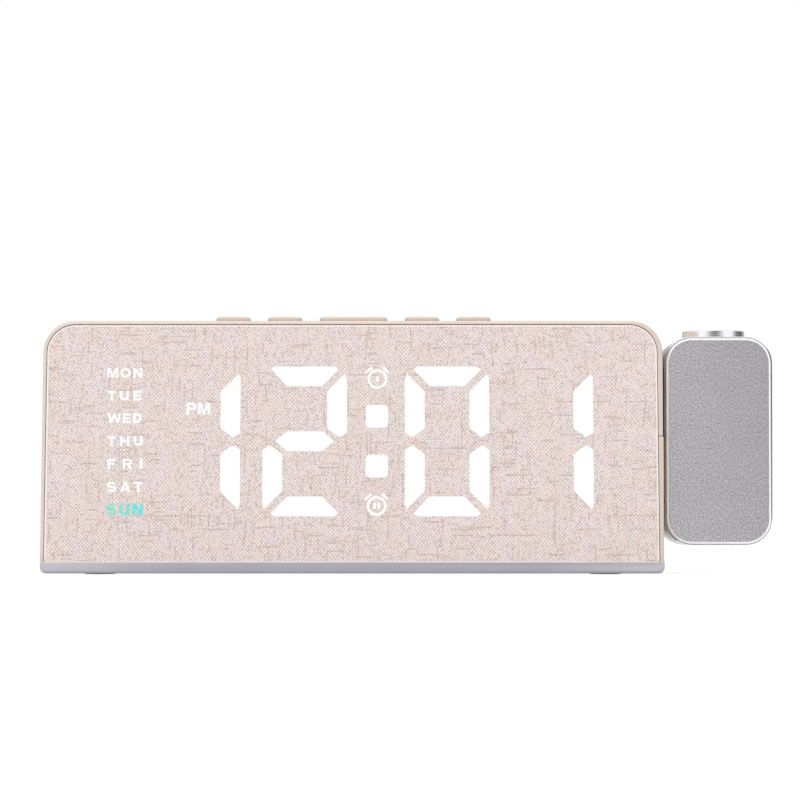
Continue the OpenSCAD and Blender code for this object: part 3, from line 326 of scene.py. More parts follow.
def prism(loops, low, high, place):
    """Points and faces of a flat shape with holes, between two depths: two caps, then a band round each loop.
    place(x, z, depth) puts a point in the world."""
    flat = np.concatenate([np.asarray(loop, float) for loop in loops])
    count = len(flat)
    points = np.concatenate([place(flat[:, 0], flat[:, 1], low), place(flat[:, 0], flat[:, 1], high)])
    caps = np.array(tessellate_polygon([[Vector((x, y, 0)) for x, y in loop] for loop in loops]))
    faces = [caps, caps[:, ::-1] + count]
    start = 0
    for loop in loops:
        i = start + np.arange(len(loop))
        j = np.roll(i, -1)
        faces.append(np.stack([i, i + count, j + count, j], -1))
        start += len(loop)
    return points, faces


def joined(parts):
    """Points and faces of several shapes in one mesh."""
    starts = np.cumsum([0] + [len(points) for points, _ in parts])
    faces = []
    for (_, groups), start in zip(parts, starts):
        for group in groups:
            faces += (group + start).tolist()
    return np.concatenate([points for points, _ in parts]), faces


def cut(obj, cutter):
    """Takes the cutter's volume out of a piece, and removes the cutter."""
    obj.modifiers.clear()
    change = obj.modifiers.new("cut", "BOOLEAN")
    change.operation = "DIFFERENCE"
    change.solver = "EXACT"
    change.object = cutter
    bpy.context.view_layer.update()
    mesh = bpy.data.meshes.new_from_object(obj.evaluated_get(bpy.context.evaluated_depsgraph_get()))
    obj.modifiers.clear()
    mesh.name = obj.name
    obj.data = mesh
    bpy.data.objects.remove(cutter)


def cylinder_cutter(axis, centre, radius, low, high):
    """Round cutter along X, Y or Z between two heights."""
    ring = revolve([(radius, low), (radius, high)], 64)
    ring = np.roll(ring, {"z": 0, "x": 1, "y": 2}[axis], axis=-1)
    return loft("cutter", ring + np.asarray(centre, float))


def merged_copy(node, name, material):
    """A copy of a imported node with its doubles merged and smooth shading, which stands for the node."""
    obj = bpy.data.objects.new(name, frame["nodes"][node].data.copy())
    bpy.context.scene.collection.objects.link(obj)
    clean(obj, 40, outward=False, merge=2e-6)
    return finish_piece(obj, NODE_BODY[node], NODE_SLOT[node], material, node)


def finish_piece(obj, body, slot, material, *nodes):
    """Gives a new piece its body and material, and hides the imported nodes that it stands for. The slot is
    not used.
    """
    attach(obj, body)
    if nodes:
        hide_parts(*nodes)
    obj.data.materials.clear()
    obj.data.materials.append(material)
    return obj


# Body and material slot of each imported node
NODE_BODY = {node: body for body, nodes in frame["record"]["behaviour"]["bodies"].items() for node in nodes}
NODE_SLOT = {name: node.material_slots[0].name.split(".")[0] for name, node in frame["nodes"].items()}


# ---- Material helpers ----


class Finish:
    """A material or a world under construction. A value may be a number, a colour or a socket."""

    def __init__(self, name, kind="materials"):
        self.made = getattr(bpy.data, kind).new(name)
        self.made.use_nodes = True
        self.tree = self.made.node_tree

    def node(self, kind, inputs=(), **settings):
        made = self.tree.nodes.new(kind)
        for key, value in settings.items():
            setattr(made, key, value)
        for key, value in dict(inputs).items():
            self.feed(made.inputs[key], value)
        return made

    def feed(self, socket, value):
        if isinstance(value, bpy.types.NodeSocket):
            self.tree.links.new(value, socket)
        elif isinstance(value, (tuple, list)) and len(value) == 3 and socket.type == "RGBA":
            socket.default_value = (*value, 1)
        else:
            socket.default_value = value

    def place(self, scale=(1, 1, 1)):
        """Object coordinates in millimetres, scaled."""
        at = self.node("ShaderNodeTexCoord").outputs["Object"]
        inputs = {"Vector": at, "Scale": tuple(s / MM for s in scale)}
        return self.node("ShaderNodeMapping", inputs).outputs[0]

    def axes(self, vector=None):
        """X, Y and Z of a vector, or of the piece's own coordinates in millimetres."""
        return self.node("ShaderNodeSeparateXYZ", {0: self.place() if vector is None else vector}).outputs

    def value(self, name):
        """A value that the mesh's points carry."""
        return self.node("ShaderNodeAttribute", attribute_name=name).outputs["Fac"]

    def noise(self, vector, scale=1.0, detail=2.0, roughness=0.5, dims="3D"):
        inputs = {"Vector": vector, "Scale": scale, "Detail": detail, "Roughness": roughness}
        return self.node("ShaderNodeTexNoise", inputs, noise_dimensions=dims).outputs["Fac"]

    def math(self, operation, *values):
        return self.node("ShaderNodeMath", enumerate(values), operation=operation).outputs[0]

    def plus(self, a, b):
        return self.math("ADD", a, b)

    def minus(self, a, b):
        return self.math("SUBTRACT", a, b)

    def times(self, a, b):
        return self.math("MULTIPLY", a, b)

    def most(self, a, b):
        return self.math("MAXIMUM", a, b)

    def ramp(self, value, low, high, out_low=0.0, out_high=1.0, smooth_step=True):
        """Value mapped from low..high to out_low..out_high and held at the ends."""
        names = ("Value", "From Min", "From Max", "To Min", "To Max")
        inputs = zip(names, (value, low, high, out_low, out_high))
        kind = "SMOOTHSTEP" if smooth_step else "LINEAR"
        return self.node("ShaderNodeMapRange", inputs, interpolation_type=kind).outputs[0]

    def mix(self, amount, a, b, blend="MIX"):
        inputs = {0: amount, 6: a, 7: b}
        return self.node("ShaderNodeMix", inputs, data_type="RGBA", blend_type=blend).outputs[2]

    def blend(self, amount, a, b):
        """Shader a, or b where the amount is 1."""
        return self.node("ShaderNodeMixShader", {0: amount, 1: a, 2: b}).outputs[0]

    def shade(self, colour, tone):
        """A colour times a grey tone."""
        grey = self.node("ShaderNodeCombineColor", {0: tone, 1: tone, 2: tone}).outputs[0]
        return self.mix(1.0, colour, grey, "MULTIPLY")

    def bump(self, height, depth, strength):
        """Bump of a height from 0 to 1, `depth` millimetres deep."""
        inputs = {"Height": height, "Distance": depth * MM, "Strength": strength}
        return self.node("ShaderNodeBump", inputs).outputs[0]

    def done(self, **inputs):
        """Sets the shader's sockets by name, with spaces written as _, and gives the material."""
        shader = self.tree.nodes["Principled BSDF"]
        for key, value in inputs.items():
            self.feed(shader.inputs[key.replace("_", " ")], value)
        return self.made


MATERIALS = {}


def made_once(make):
    """Makes the material of each name once, and gives the same one again."""

    def find(name, *settings, **more):
        if name not in MATERIALS:
            MATERIALS[name] = make(name, *settings, **more)
        return MATERIALS[name]

    return find


@made_once
def moulded(name, tint, grain=0.012, roughness=0.42, mottle=0.03, sheen=0.0):
    """Moulded plastic: a fine spark-eroded grain, slight flow mottling and uneven gloss.
    The tint is a colour, or a function that builds one from the finish."""
    f = Finish(name)
    at = f.place()
    cloud = f.noise(at, 0.12, 3)
    grain_height = f.noise(at, 9.0, 2, 0.6)
    shade = f.ramp(cloud, 0.3, 0.7, 1 - mottle, 1.0)
    base = f.shade(tint(f) if callable(tint) else tint, shade)
    gloss = f.ramp(f.noise(at, 0.5, 3), 0.3, 0.7, roughness - 0.05, roughness + 0.05)
    return f.done(Base_Color=base, Roughness=f.plus(gloss, f.times(grain_height, 0.04)), IOR=1.48,
                  Sheen_Weight=sheen, Sheen_Roughness=0.35, Normal=f.bump(grain_height, grain, 0.6))


def shell_shaded_tint(colours):
    """Colour of the housing, with painted light: painted shade darkens and warms it from its left end to its
    right, a painted highlight keeps the roof paler, and painted shade greys it just above the
    base. A thin band of painted shade darkens the parting groove of its right side."""

    def build(f):
        x, _, z = f.axes()
        # Painted shade: darker and warmer from the left end to the right
        tint = f.mix(f.ramp(x, BODY_X - 50, BODY_X + 70), colours.shell_left_shaded, colours.shell_right_shaded)
        # Painted highlight: the roof takes the palest colour
        tint = f.mix(f.ramp(z, ROOF_Z - 0.95, ROOF_Z - 0.2), tint, colours.shell)
        # Painted shade: greyer just above the base
        tint = f.mix(f.ramp(z, BASE_TOP, BASE_TOP + 3.0, 0.5, 0.0), tint, colours.shell_low_shaded)
        # Painted shade: a thin dark band in the parting groove of the right side, standing in for the
        # groove's shade
        off = f.math("ABSOLUTE", f.minus(z, bpy.context.scene.clock_sizes.parting_z / MM))
        line = f.ramp(off, 0.14, 0.3, 1.0, 0.0)
        line = f.times(line, f.math("GREATER_THAN", x, float(BODY_HIGH[0] - 2)))
        return f.shade(tint, f.minus(1.0, f.times(line, 0.3)))

    return build


def base_shaded_tint(colours):
    """Colour of the base: paler towards its ends, with a painted highlight along its top edge and painted
    shade along its lower edge.
    """

    def build(f):
        x, _, z = f.axes()
        away = f.math("ABSOLUTE", f.minus(x, float(BODY_X)))
        tint = f.mix(f.ramp(away, 45, 81), colours.base, colours.base_end)
        # Painted highlight: paler along the top edge
        tint = f.mix(f.ramp(z, BASE_TOP - 0.3, BASE_TOP - 0.16, 0.0, 0.9), tint, colours.base_top_highlight)
        # Painted shade: darker along the lower edge
        return f.mix(f.ramp(z, FOOT_H + 0.25, FOOT_H + 0.9, 0.85, 0.0), tint, colours.base_low_shade)

    return build


def button_shaded_tint(colours):
    """Colour of the buttons, with painted light: a painted cool shade on their round ends, and painted shade
    darkening their walls towards the roof.
    """

    def build(f):
        end = f.value("end")
        z = f.axes()[2]
        # Painted shade: cooler and greyer on the round ends
        base = f.mix(f.times(end, 0.8), colours.button, colours.button_end_shade)
        # Painted shade: the walls darken towards the roof
        return f.shade(base, f.ramp(z, ROOF_Z + 0.8, ROOF_Z + 1.25, 0.83, 1.0))

    return build


@made_once
def metal(name, tint, roughness=0.3, grain=0.01, grain_scale=8.0, brushed=(1, 1, 1), speckle=0.0,
          speck_scale=1.5, drift=0.015, metallic=1.0):
    """Metal with a fine grain: round specks when blasted, or lines along one axis when brushed or turned.
    The tint is a colour, or a function that builds one from the finish."""
    f = Finish(name)
    at = f.place(scale=brushed)
    grain_height = f.noise(at, grain_scale, 2, 0.6)
    cloud = f.noise(f.place(), 0.15, 2)
    tone = f.ramp(cloud, 0.3, 0.7, 1 - drift, 1 + drift)
    if speckle:
        tone = f.plus(tone, f.ramp(f.noise(at, speck_scale, 1), 0.25, 0.75, -speckle, speckle, False))
    tint = tint(f) if callable(tint) else tint
    rough = f.ramp(grain_height, 0.25, 0.75, 0.85 * roughness, 1.15 * roughness, False)
    return f.done(Base_Color=f.shade(tint, tone), Metallic=metallic, Roughness=rough,
                  Normal=f.bump(grain_height, grain, 0.6))


def plate_shaded_tint(tint):
    """Colour of the head's plate with a painted light gradient: lighter at its left side and a little darker
    towards its right side.
    """

    def build(f):
        x = f.axes()[0]
        # Painted light: lighter on the left and darker towards the right
        return f.shade(tint, f.ramp(x, HEAD_LOW[0], HEAD_HIGH[0], 1.08, 0.93, False))

    return build


# Distance between the cloth's warp yarns and between its weft yarns, and the size of a fleck of fibre
YARN_PITCH = (0.455, 0.506)
FLECK = (0.262, 0.3)


def cloth_material(colours):
    """Plain weave: cell (i, j) shows the warp where i + j is even and the weft where it is odd.
    Each yarn and each cell has its own tone, a few yarns run brown for a stretch, patches drift warm and
    cool, and a painted highlight makes the cloth paler where it turns over the panel's edge."""
    f = Finish("linen_face")
    uv = f.node("ShaderNodeUVMap", uv_map="cloth").outputs[0]
    x, z = f.axes(uv)[:2]

    def wander(scale, dims="3D"):
        """Slow drift of the yarns, by up to half a yarn to each side."""
        return f.ramp(f.noise(uv, scale, 2, dims=dims), 0, 1, -0.5, 0.5, False)

    def hump(value):
        """Round profile of a yarn: 1 in its middle and 0 at its edges, 4 t (1 - t) of the fraction t."""
        t = f.math("FRACT", value)
        return f.times(f.times(t, f.minus(1.0, t)), 4.0)

    def point(a, b, c):
        return f.node("ShaderNodeCombineXYZ", {0: a, 1: b, 2: c}).outputs[0]

    def yarn_noise(along, stretch, number, step, start, detail=1):
        """A value that drifts along each yarn and differs from yarn to yarn."""
        return f.noise(point(f.times(along, stretch), f.times(number, step), start), 1.0, detail)

    def own_value(a, b):
        """A value of its own for each pair of whole numbers."""
        kind = "ShaderNodeTexWhiteNoise"
        return f.node(kind, {"Vector": point(a, b, 0.0)}, noise_dimensions="2D").outputs["Value"]

    def slubs(weft, weft_range, warp, warp_range, full):
        """1 along a weft or a warp where its value passes its range, less towards the yarn's edges."""
        return f.most(f.times(f.ramp(weft, *weft_range), f.ramp(up, 0.3, full)),
                      f.times(f.ramp(warp, *warp_range), f.ramp(across, 0.3, full)))

    u = f.plus(f.math("DIVIDE", x, YARN_PITCH[0]), wander(0.08))
    v = f.plus(f.math("DIVIDE", z, YARN_PITCH[1]), wander(0.07, "4D"))
    column, row = f.math("FLOOR", u), f.math("FLOOR", v)
    odd = f.math("FLOORED_MODULO", f.plus(column, row), 2.0)
    across, up = hump(u), hump(v)
    crown = f.times(f.math("POWER", across, 0.5), f.math("POWER", up, 0.5))
    weft = yarn_noise(x, 0.2, row, 7.31, 3.0)
    warp = yarn_noise(z, 0.16, column, 5.17, 11.0)
    shown = f.plus(f.times(warp, f.minus(1.0, odd)), f.times(weft, odd))
    cell = own_value(column, row)
    fleck = own_value(*(f.math("FLOOR", f.math("DIVIDE", a, size)) for a, size in zip((x, z), FLECK)))
    tone = f.times(f.ramp(shown, 0.35, 0.65, 1.0, 0.97, False),
                   f.ramp(f.math("POWER", cell, 0.3), 0, 1, 0.94, 1.0, False))
    tone = f.times(tone, f.ramp(fleck, 0.0, 0.35, 0.59, 1.0))

    slub = slubs(weft, (0.66, 0.74), warp, (0.65, 0.74), 0.9)
    slub = f.most(slub, f.ramp(cell, 0.0, 0.05, 0.5, 0.0))
    long_weft = yarn_noise(x, 0.11, row, 3.71, 21.0, 0)
    long_warp = yarn_noise(z, 0.11, column, 3.17, 31.0, 0)
    long_slub = slubs(long_weft, (0.68, 0.73), long_warp, (0.69, 0.74), 0.8)
    slub = f.most(f.times(slub, 0.3), f.times(long_slub, 0.45))

    warm = f.ramp(f.noise(uv, 0.19, 2), 0.36, 0.64, 0.0, 0.62)
    yarn = f.mix(warm, colours.cloth, colours.cloth_warm)
    cool = f.ramp(f.noise(point(z, x, 4.0), 0.17, 2), 0.42, 0.68, 0.0, 0.5)
    yarn = f.mix(cool, yarn, colours.cloth_cool)
    yarn = f.shade(f.mix(slub, yarn, colours.slub), tone)
    dark = f.most(f.ramp(crown, 0.0, 0.5, 0.3, 0.0),
                  f.times(odd, f.ramp(f.noise(uv, 0.5, 2), 0.35, 0.65, 0.4, 0.46)))
    base = f.mix(dark, yarn, colours.cloth_dark)
    # Painted highlight: paler along the cloth's turned edge
    base = f.mix(f.times(f.value("edge"), 0.9), base, colours.cloth_edge_highlight)
    fine = f.node("ShaderNodeMapping", {"Vector": uv, "Scale": (14, 14, 14)}).outputs[0]
    fibres = f.noise(fine, 1.0, 2, 0.7)
    height = f.plus(f.times(crown, f.minus(1.0, f.times(odd, 0.35))), f.times(fibres, 0.15))
    return f.done(Base_Color=base, Roughness=0.88, Sheen_Weight=0.12, Sheen_Roughness=0.5,
                  Normal=f.bump(height, 0.12, 0.7))


@made_once
def light_material(name, tint, far=None, uneven=0.0):
    """Light through the cloth: plain, or uneven where the weave dims it.
    `far` is the colour at a name's inner end."""
    f = Finish(name)
    base = tint
    if far:
        x = f.axes()[0]
        base = f.mix(f.ramp(x, BODY_X - 62, BODY_X - 55), tint, far)
    if uneven:
        base = f.shade(base, f.ramp(f.noise(f.place(), 2.2, 2, 0.6), 0.3, 0.7, 1 - uneven, 1.0))
    return f.done(Base_Color=(0, 0, 0), Roughness=0.9, Specular_IOR_Level=0.0, Emission_Color=base,
                  Emission_Strength=1.0)


# ---- Body pieces ----

BUTTONS = [
    "left_outer_button", "left_inner_button", "snooze_button", "right_inner_button", "right_outer_button",
]
BUTTON_LEDGE = 1.6  # how much wider than its cap a button's retaining ledge is
BUTTON_PIN = 3.0  # diameter of the pin that meets the switch
BUTTON_GAP = 0.3  # how much wider than the cap its opening is
PIVOT_BORE = 6.03
SHAFT_BORE = 4.03
RING_BORE = 7.05


def stadium(w, d, steps=13):
    """Stadium outline about the origin, w along X: two half circles of radius d / 2."""
    return round_rect(w, d, d / 2 - 1e-4, steps)


class CLOCK_OT_housing(bpy.types.Operator):
    """Moulded housing: a section carried up one side, over the roof and down the other, both faces leaning"""

    bl_idname = "clock.housing"
    bl_label = "Housing"

    def execute(self, context):
        s = in_mm(context.scene.clock_sizes)
        # Section points: side inset, top inset, corner radius, depth from the face, 1 for the front or -1 for
        # the rear, and 1 where the point belongs to the front rim's inner edge
        bevel = 0.06
        rim = (s.rim_w, s.rim_top, s.corner_r - s.rim_w)
        near = (s.rim_w - bevel, s.rim_top - bevel, s.corner_r - s.rim_w + bevel)
        section = []
        for side, seat in ((1, s.front_seat), (-1, s.rear_seat)):
            half = [(*rim, seat), (*rim, 0.08), (*near, 0.0)]
            half += [(i, i, s.corner_r - i, d) for i, d in rounding(s.edge_r)]
            half = [(*p, side, float(side > 0 and k < 3)) for k, p in enumerate(half)]
            section += half[::side]
        inner = (WALL, WALL / math.cos(LEAN), s.corner_r - WALL)
        section += [(*inner, s.rear_seat, -1, 0.0), (*inner, s.front_seat, 1, 0.0)]
        ix, iz, r, d, side, lip = (np.array(column)[None, :] for column in zip(*section))
        skin = ix < s.rim_w - 0.07

        # Stations up the right side, with the groove and step of its parting line, and on to the left foot
        parting = (s.parting_z - FOOT_H) / math.cos(LEAN) + np.array([-0.14, -0.07, 0, 0.07, 0.14])
        heights = np.concatenate([[FACE_FOOT, 12, 24], parting, [45]])
        groove = np.array([0, 0, 0, 0, 0.14, 0.2, 0.14, 0, 0])
        step = s.parting_step * np.array([-0.7, -0.7, 0.2, 0.8, 0.8, 0.3, -0.3, -0.3, 0.2])
        arc = np.radians(np.linspace(0, 90, 19))
        left = np.zeros(len(heights) + len(arc))
        hand = np.concatenate([left + 1, left - 1])[:, None]
        leg = np.concatenate([heights, np.full(2 * len(arc), np.nan), heights[::-1]])[:, None]
        turn = np.concatenate([0 * heights, arc, np.pi - arc[::-1], np.pi + 0 * heights])[:, None]
        carve = np.concatenate([groove, 0 * arc, left])[:, None] * (ix < WALL)
        push = np.concatenate([step, 0.7 * s.parting_step * np.cos(arc), left])[:, None] * skin
        widen = lip * np.where(hand > 0, s.rim_right - s.rim_w, s.rim_w - s.rim_left)
        x = hand * (BODY_W / 2 - ix - r) + r * np.cos(turn) - widen + push - carve * skin
        z = np.where(np.isnan(leg), FACE_H - iz - r + r * np.sin(turn), leg)
        front_y = -BASE_D / 2 + (d + carve * (side > 0) * (d < 0.3)) / math.cos(LEAN) + z * math.sin(LEAN)
        shell = loft("housing_shell", np.stack([BODY_X + x, side * front_y, FOOT_H + z * math.cos(LEAN)], -1))

        for button in BUTTONS:
            low, high = node_box(button)
            outline = stadium(high[0] - low[0] - BUTTON_LEDGE + BUTTON_GAP, s.button_d + BUTTON_GAP)
            rings = np.stack([level(outline, z) for z in (ROOF_IN - 1, ROOF_Z + 1)])
            cut(shell, loft("cutter", rings + [(low[0] + high[0]) / 2, 0, 0]))
        cut(shell, cylinder_cutter("x", (0, 0, HEAD_Z), PIVOT_BORE, BODY_HIGH[0] - 4, BODY_HIGH[0] + 1))
        clean(shell)
        tint = shell_shaded_tint(in_rgb(context.scene.clock_colours))
        plastic = moulded("housing_plastic", tint, sheen=0.2)
        finish_piece(shell, "clock_body", "housing_plastic", plastic, "housing")
        return {"FINISHED"}


class CLOCK_OT_buttons(bpy.types.Operator):
    """Five stadium buttons: rings from the switch pin up through the retaining ledge to the rounded cap"""

    bl_idname = "clock.buttons"
    bl_label = "Buttons"

    def execute(self, context):
        s, c = in_mm(context.scene.clock_sizes), in_rgb(context.scene.clock_colours)
        material = moulded("button_plastic", button_shaded_tint(c), roughness=0.36, sheen=0.2)
        depth = s.button_d
        under, over = ROOF_IN - 0.85, ROOF_IN - 0.05
        for button in BUTTONS:
            low, high = node_box(button)
            width, top = high[0] - low[0] - BUTTON_LEDGE, high[2]
            ledge = (width + BUTTON_LEDGE, depth + BUTTON_LEDGE)
            levels = [(BUTTON_PIN, BUTTON_PIN, low[2]), (BUTTON_PIN, BUTTON_PIN, under), (*ledge, under),
                      (*ledge, over), (width, depth, over), (width, depth, top - s.button_edge)]
            edge = rounding(s.button_edge, 7)[-2::-1]
            levels += [(width - 2 * i, depth - 2 * i, top - d) for i, d in edge]
            levels += [(width - 2.2, depth - 2.2, top)]
            rings = np.array([level(stadium(w + 2e-4, d), z) for w, d, z in levels])
            middle = (low[0] + high[0]) / 2
            piece = loft(button + "_cap", rings + [middle, 0, 0], sharp=40)
            away = np.abs(mesh_points(piece)[:, 0] - middle)
            # The end value marks the round ends, where the buttons take their painted cool shade
            add_value(piece, "end", np.clip((away - width / 2 + 1.7) / 1.2, 0, 1))
            finish_piece(piece, button, "button_plastic", material, button)
        return {"FINISHED"}


class CLOCK_OT_base(bpy.types.Operator):
    """Base strip under the housing, a merged copy of its solid"""

    bl_idname = "clock.base"
    bl_label = "Base"

    def execute(self, context):
        tint = base_shaded_tint(in_rgb(context.scene.clock_colours))
        merged_copy("base", "base_tray", moulded("base_plastic", tint, roughness=0.45))
        return {"FINISHED"}


class CLOCK_OT_fabric(bpy.types.Operator):
    """Woven cloth stretched over the front panel: a plate whose edge is turned over a small radius"""

    bl_idname = "clock.fabric"
    bl_label = "Fabric face"

    def execute(self, context):
        s, c = in_mm(context.scene.clock_sizes), in_rgb(context.scene.clock_colours)
        side, top = s.rim_w + s.face_gap, s.rim_top + s.face_gap
        more, less = s.rim_right - s.rim_w, s.rim_left - s.rim_w
        turned = 0.22
        arc = np.radians(np.linspace(0, 90, 17))
        profile = [(0.0, s.face_sink + s.fabric_t)]
        profile += [(i, s.face_sink + d) for i, d in rounding(turned, 5)[::-1]]
        profile += [(0.36, s.face_sink), (0.5, s.face_sink)]

        def outline(inset, depth):
            """Front outline inset at the sides and the top, cut level with the top of the base."""
            x = BODY_W / 2 - side - inset
            z = FACE_H - top - inset
            r = s.corner_r - side - inset
            foot = FACE_FOOT + depth * math.tan(LEAN) + max(0.3 * min(inset, turned), inset - turned)
            right = np.stack([x - r + r * np.cos(arc), z - r + r * np.sin(arc)], -1)
            left = right[::-1] * [-1, 1]
            ends = [[x - more, foot]], [[less - x, foot]]
            loop = np.concatenate([ends[0], right - [more, 0], left + [less, 0], ends[1]])
            return on_front(loop[:, 0], loop[:, 1], depth)

        rings = np.array([outline(i, d) for i, d in profile])
        cloth = loft("fabric_face_cloth", rings, sharp=60)
        coords = mesh_points(cloth)
        corners = np.empty(len(cloth.data.loops), int)
        cloth.data.loops.foreach_get("vertex_index", corners)
        at = coords[corners]
        flat = np.column_stack([at[:, 0] - BODY_X, (at[:, 2] - FOOT_H) / math.cos(LEAN)])
        cloth.data.uv_layers.new(name="cloth").data.foreach_set("uv", flat.ravel())
        # The edge value places the painted highlight on the cloth's turned edge
        apart = np.linalg.norm(coords[:, None, :] - rings[-1][None, :, :], axis=2).min(axis=1)
        add_value(cloth, "edge", np.clip(apart / 0.14, 0, 1))
        finish_piece(cloth, "clock_body", "fabric", cloth_material(c), "fabric_face")
        return {"FINISHED"}


# ---- Lit display ----


def mirrored(half):
    """Outline of a right half, from its top to its foot, and its mirror image."""
    half = np.array(half)
    return np.roll(np.concatenate([half, half[::-1] * [-1, 1]]), 1, 0)


def segment_shapes(d):
    """The seven segments of a digit about its middle, by mirroring an end, a middle and a side segment."""
    w, h, st, gap = d.digit_w, d.digit_h, d.stroke, d.gap
    out, over, edge = w / 2, h / 2, w / 2 - st
    end = mirrored([(out - 0.62 * st, st / 2), (out - 0.42 * st, 0.36 * st), (edge - 1.25 * gap, -st / 2)])
    flat = edge - 1.15 * gap
    middle = mirrored([(flat, st / 2), (flat + 0.58 * st, 0), (flat, -st / 2)])
    side = np.array([(out, 2.2 * gap), (out, over - 0.65 * st), (out - 0.1 * st, over - 0.36 * st),
                     (edge, over - st - 1.4 * gap), (edge, 3.4 * gap), (out - 0.38 * st, gap)])
    up = np.array([0, (h - st) / 2])
    return {
        "a": end + up, "d": (end + up) * [1, -1], "g": middle,
        "b": side, "c": side * [1, -1], "f": side * [-1, 1], "e": side * [-1, -1],
    }


def round_corners(shape, radius=0.28, steps=4):
    """Outline with each corner replaced by a small curve: the quadratic between two points beside it."""
    shape = np.asarray(shape, float)

    def beside(neighbour):
        along = neighbour - shape
        size = np.linalg.norm(along, axis=1)
        return shape + np.minimum(radius, 0.45 * size)[:, None] * along / size[:, None]

    a, b = beside(np.roll(shape, 1, 0)), beside(np.roll(shape, -1, 0))
    t = np.linspace(0, 1, steps)[None, :, None]
    curve = (1 - t) ** 2 * a[:, None] + 2 * t * (1 - t) * shape[:, None] + t**2 * b[:, None]
    return curve.reshape(-1, 2)


# Middle of each digit along the face, and its lit segments
LIT = [(-40.15, "bc"), (-12.4, "abged"), (24.62, "abcdef"), (51.66, "bc")]
# The colon's squares: width, height and corner radius, place along the face and heights up it
COLON_SQUARE, COLON_X, COLON_HEIGHTS = (5.85, 5.95, 1.0), 6.38, (40.98, 27.96)
# The alarm signs' ring: radius and stroke. The ends of the right ear from the ring's middle, and its width
ALARM_RING, ALARM_EAR, ALARM_EAR_WIDTH = (2.6, 0.68), ((2.75, 1.9), (1.6, 2.9)), 0.66
# Each alarm sign: name, place along the face and up it, offsets of its bars, their width and height
ALARM_SIGNS = [("first_alarm_light", 6.48, 50.81, [0.0], 0.81, 1.6),
               ("second_alarm_light", 6.34, 17.53, [-0.55, 0.55], 0.73, 1.75)]


def lit_piece(context, name, shapes, material, proud=None):
    """One thin piece of light just over the cloth, from flat shapes with their holes."""
    s, d = in_mm(context.scene.clock_sizes), in_mm(context.scene.clock_display)
    parts = [prism(loops, s.face_sink - (proud or d.proud), s.face_sink + 0.02, on_front) for loops in shapes]
    points, faces = joined(parts)
    piece = add_mesh(name, points, faces, sharp=30)
    return finish_piece(piece, "clock_body", "led_lens", material)


class CLOCK_OT_digits(bpy.types.Operator):
    """Lit segments of the four digits, and the two squares of the colon"""

    bl_idname = "clock.digits"
    bl_label = "Digits"

    def execute(self, context):
        d = in_mm(context.scene.clock_display)
        material = light_material("display_light", in_rgb(context.scene.clock_colours).light)
        shapes = segment_shapes(d)
        for number, (x, lit) in enumerate(LIT):
            pieces = [[round_corners(shapes[k] + [x, d.digit_z])] for k in lit]
            lit_piece(context, f"digit_{number + 1}_light", pieces, material)
        colon = [[round_rect(*COLON_SQUARE, 7) + [COLON_X, z]] for z in COLON_HEIGHTS]
        lit_piece(context, "colon_light", colon, material)
        return {"FINISHED"}


def ring_shape(x, z, radius, stroke, steps=48):
    """Round ring: an outer circle and an inner circle."""
    t = np.linspace(0, 2 * np.pi, steps, endpoint=False)
    circle = np.stack([np.cos(t), np.sin(t)], -1)
    return [circle * radius + [x, z], circle * (radius - stroke) + [x, z]]


def bar_shape(a, b, width, steps=7):
    """Capsule from a to b: two half circles joined."""
    a, b = np.array(a, float), np.array(b, float)
    along = math.atan2(*(b - a)[::-1])
    t = np.linspace(-np.pi / 2, np.pi / 2, steps)
    ends = [c + width / 2 * np.stack([np.cos(t + turn), np.sin(t + turn)], -1)
            for c, turn in ((b, along), (a, along + np.pi))]
    return [np.concatenate(ends)]


class CLOCK_OT_alarm_signs(bpy.types.Operator):
    """Two alarm signs: a ring with two ears, and one or two bars inside"""

    bl_idname = "clock.alarm_signs"
    bl_label = "Alarm signs"

    def execute(self, context):
        material = light_material("display_light", in_rgb(context.scene.clock_colours).light)
        for name, x, z, bars, width, height in ALARM_SIGNS:
            reach = height / 2 - width / 2
            shapes = [ring_shape(x, z, *ALARM_RING)]
            for hand in (-1, 1):
                shapes.append(bar_shape(*((x + hand * a, z + b) for a, b in ALARM_EAR), ALARM_EAR_WIDTH))
            for offset in bars:
                shapes.append(bar_shape((x + offset, z - reach), (x + offset, z + reach), width))
            lit_piece(context, name, shapes, material)
        return {"FINISHED"}


def half_turn(cx, cy, rx, ry, start, end, steps=11):
    """Points of an ellipse between two angles in degrees: (cx + rx cos t, cy + ry sin t)."""
    t = np.radians(np.linspace(start, end, steps))
    return np.stack([cx + rx * np.cos(t), cy + ry * np.sin(t)], -1).tolist()


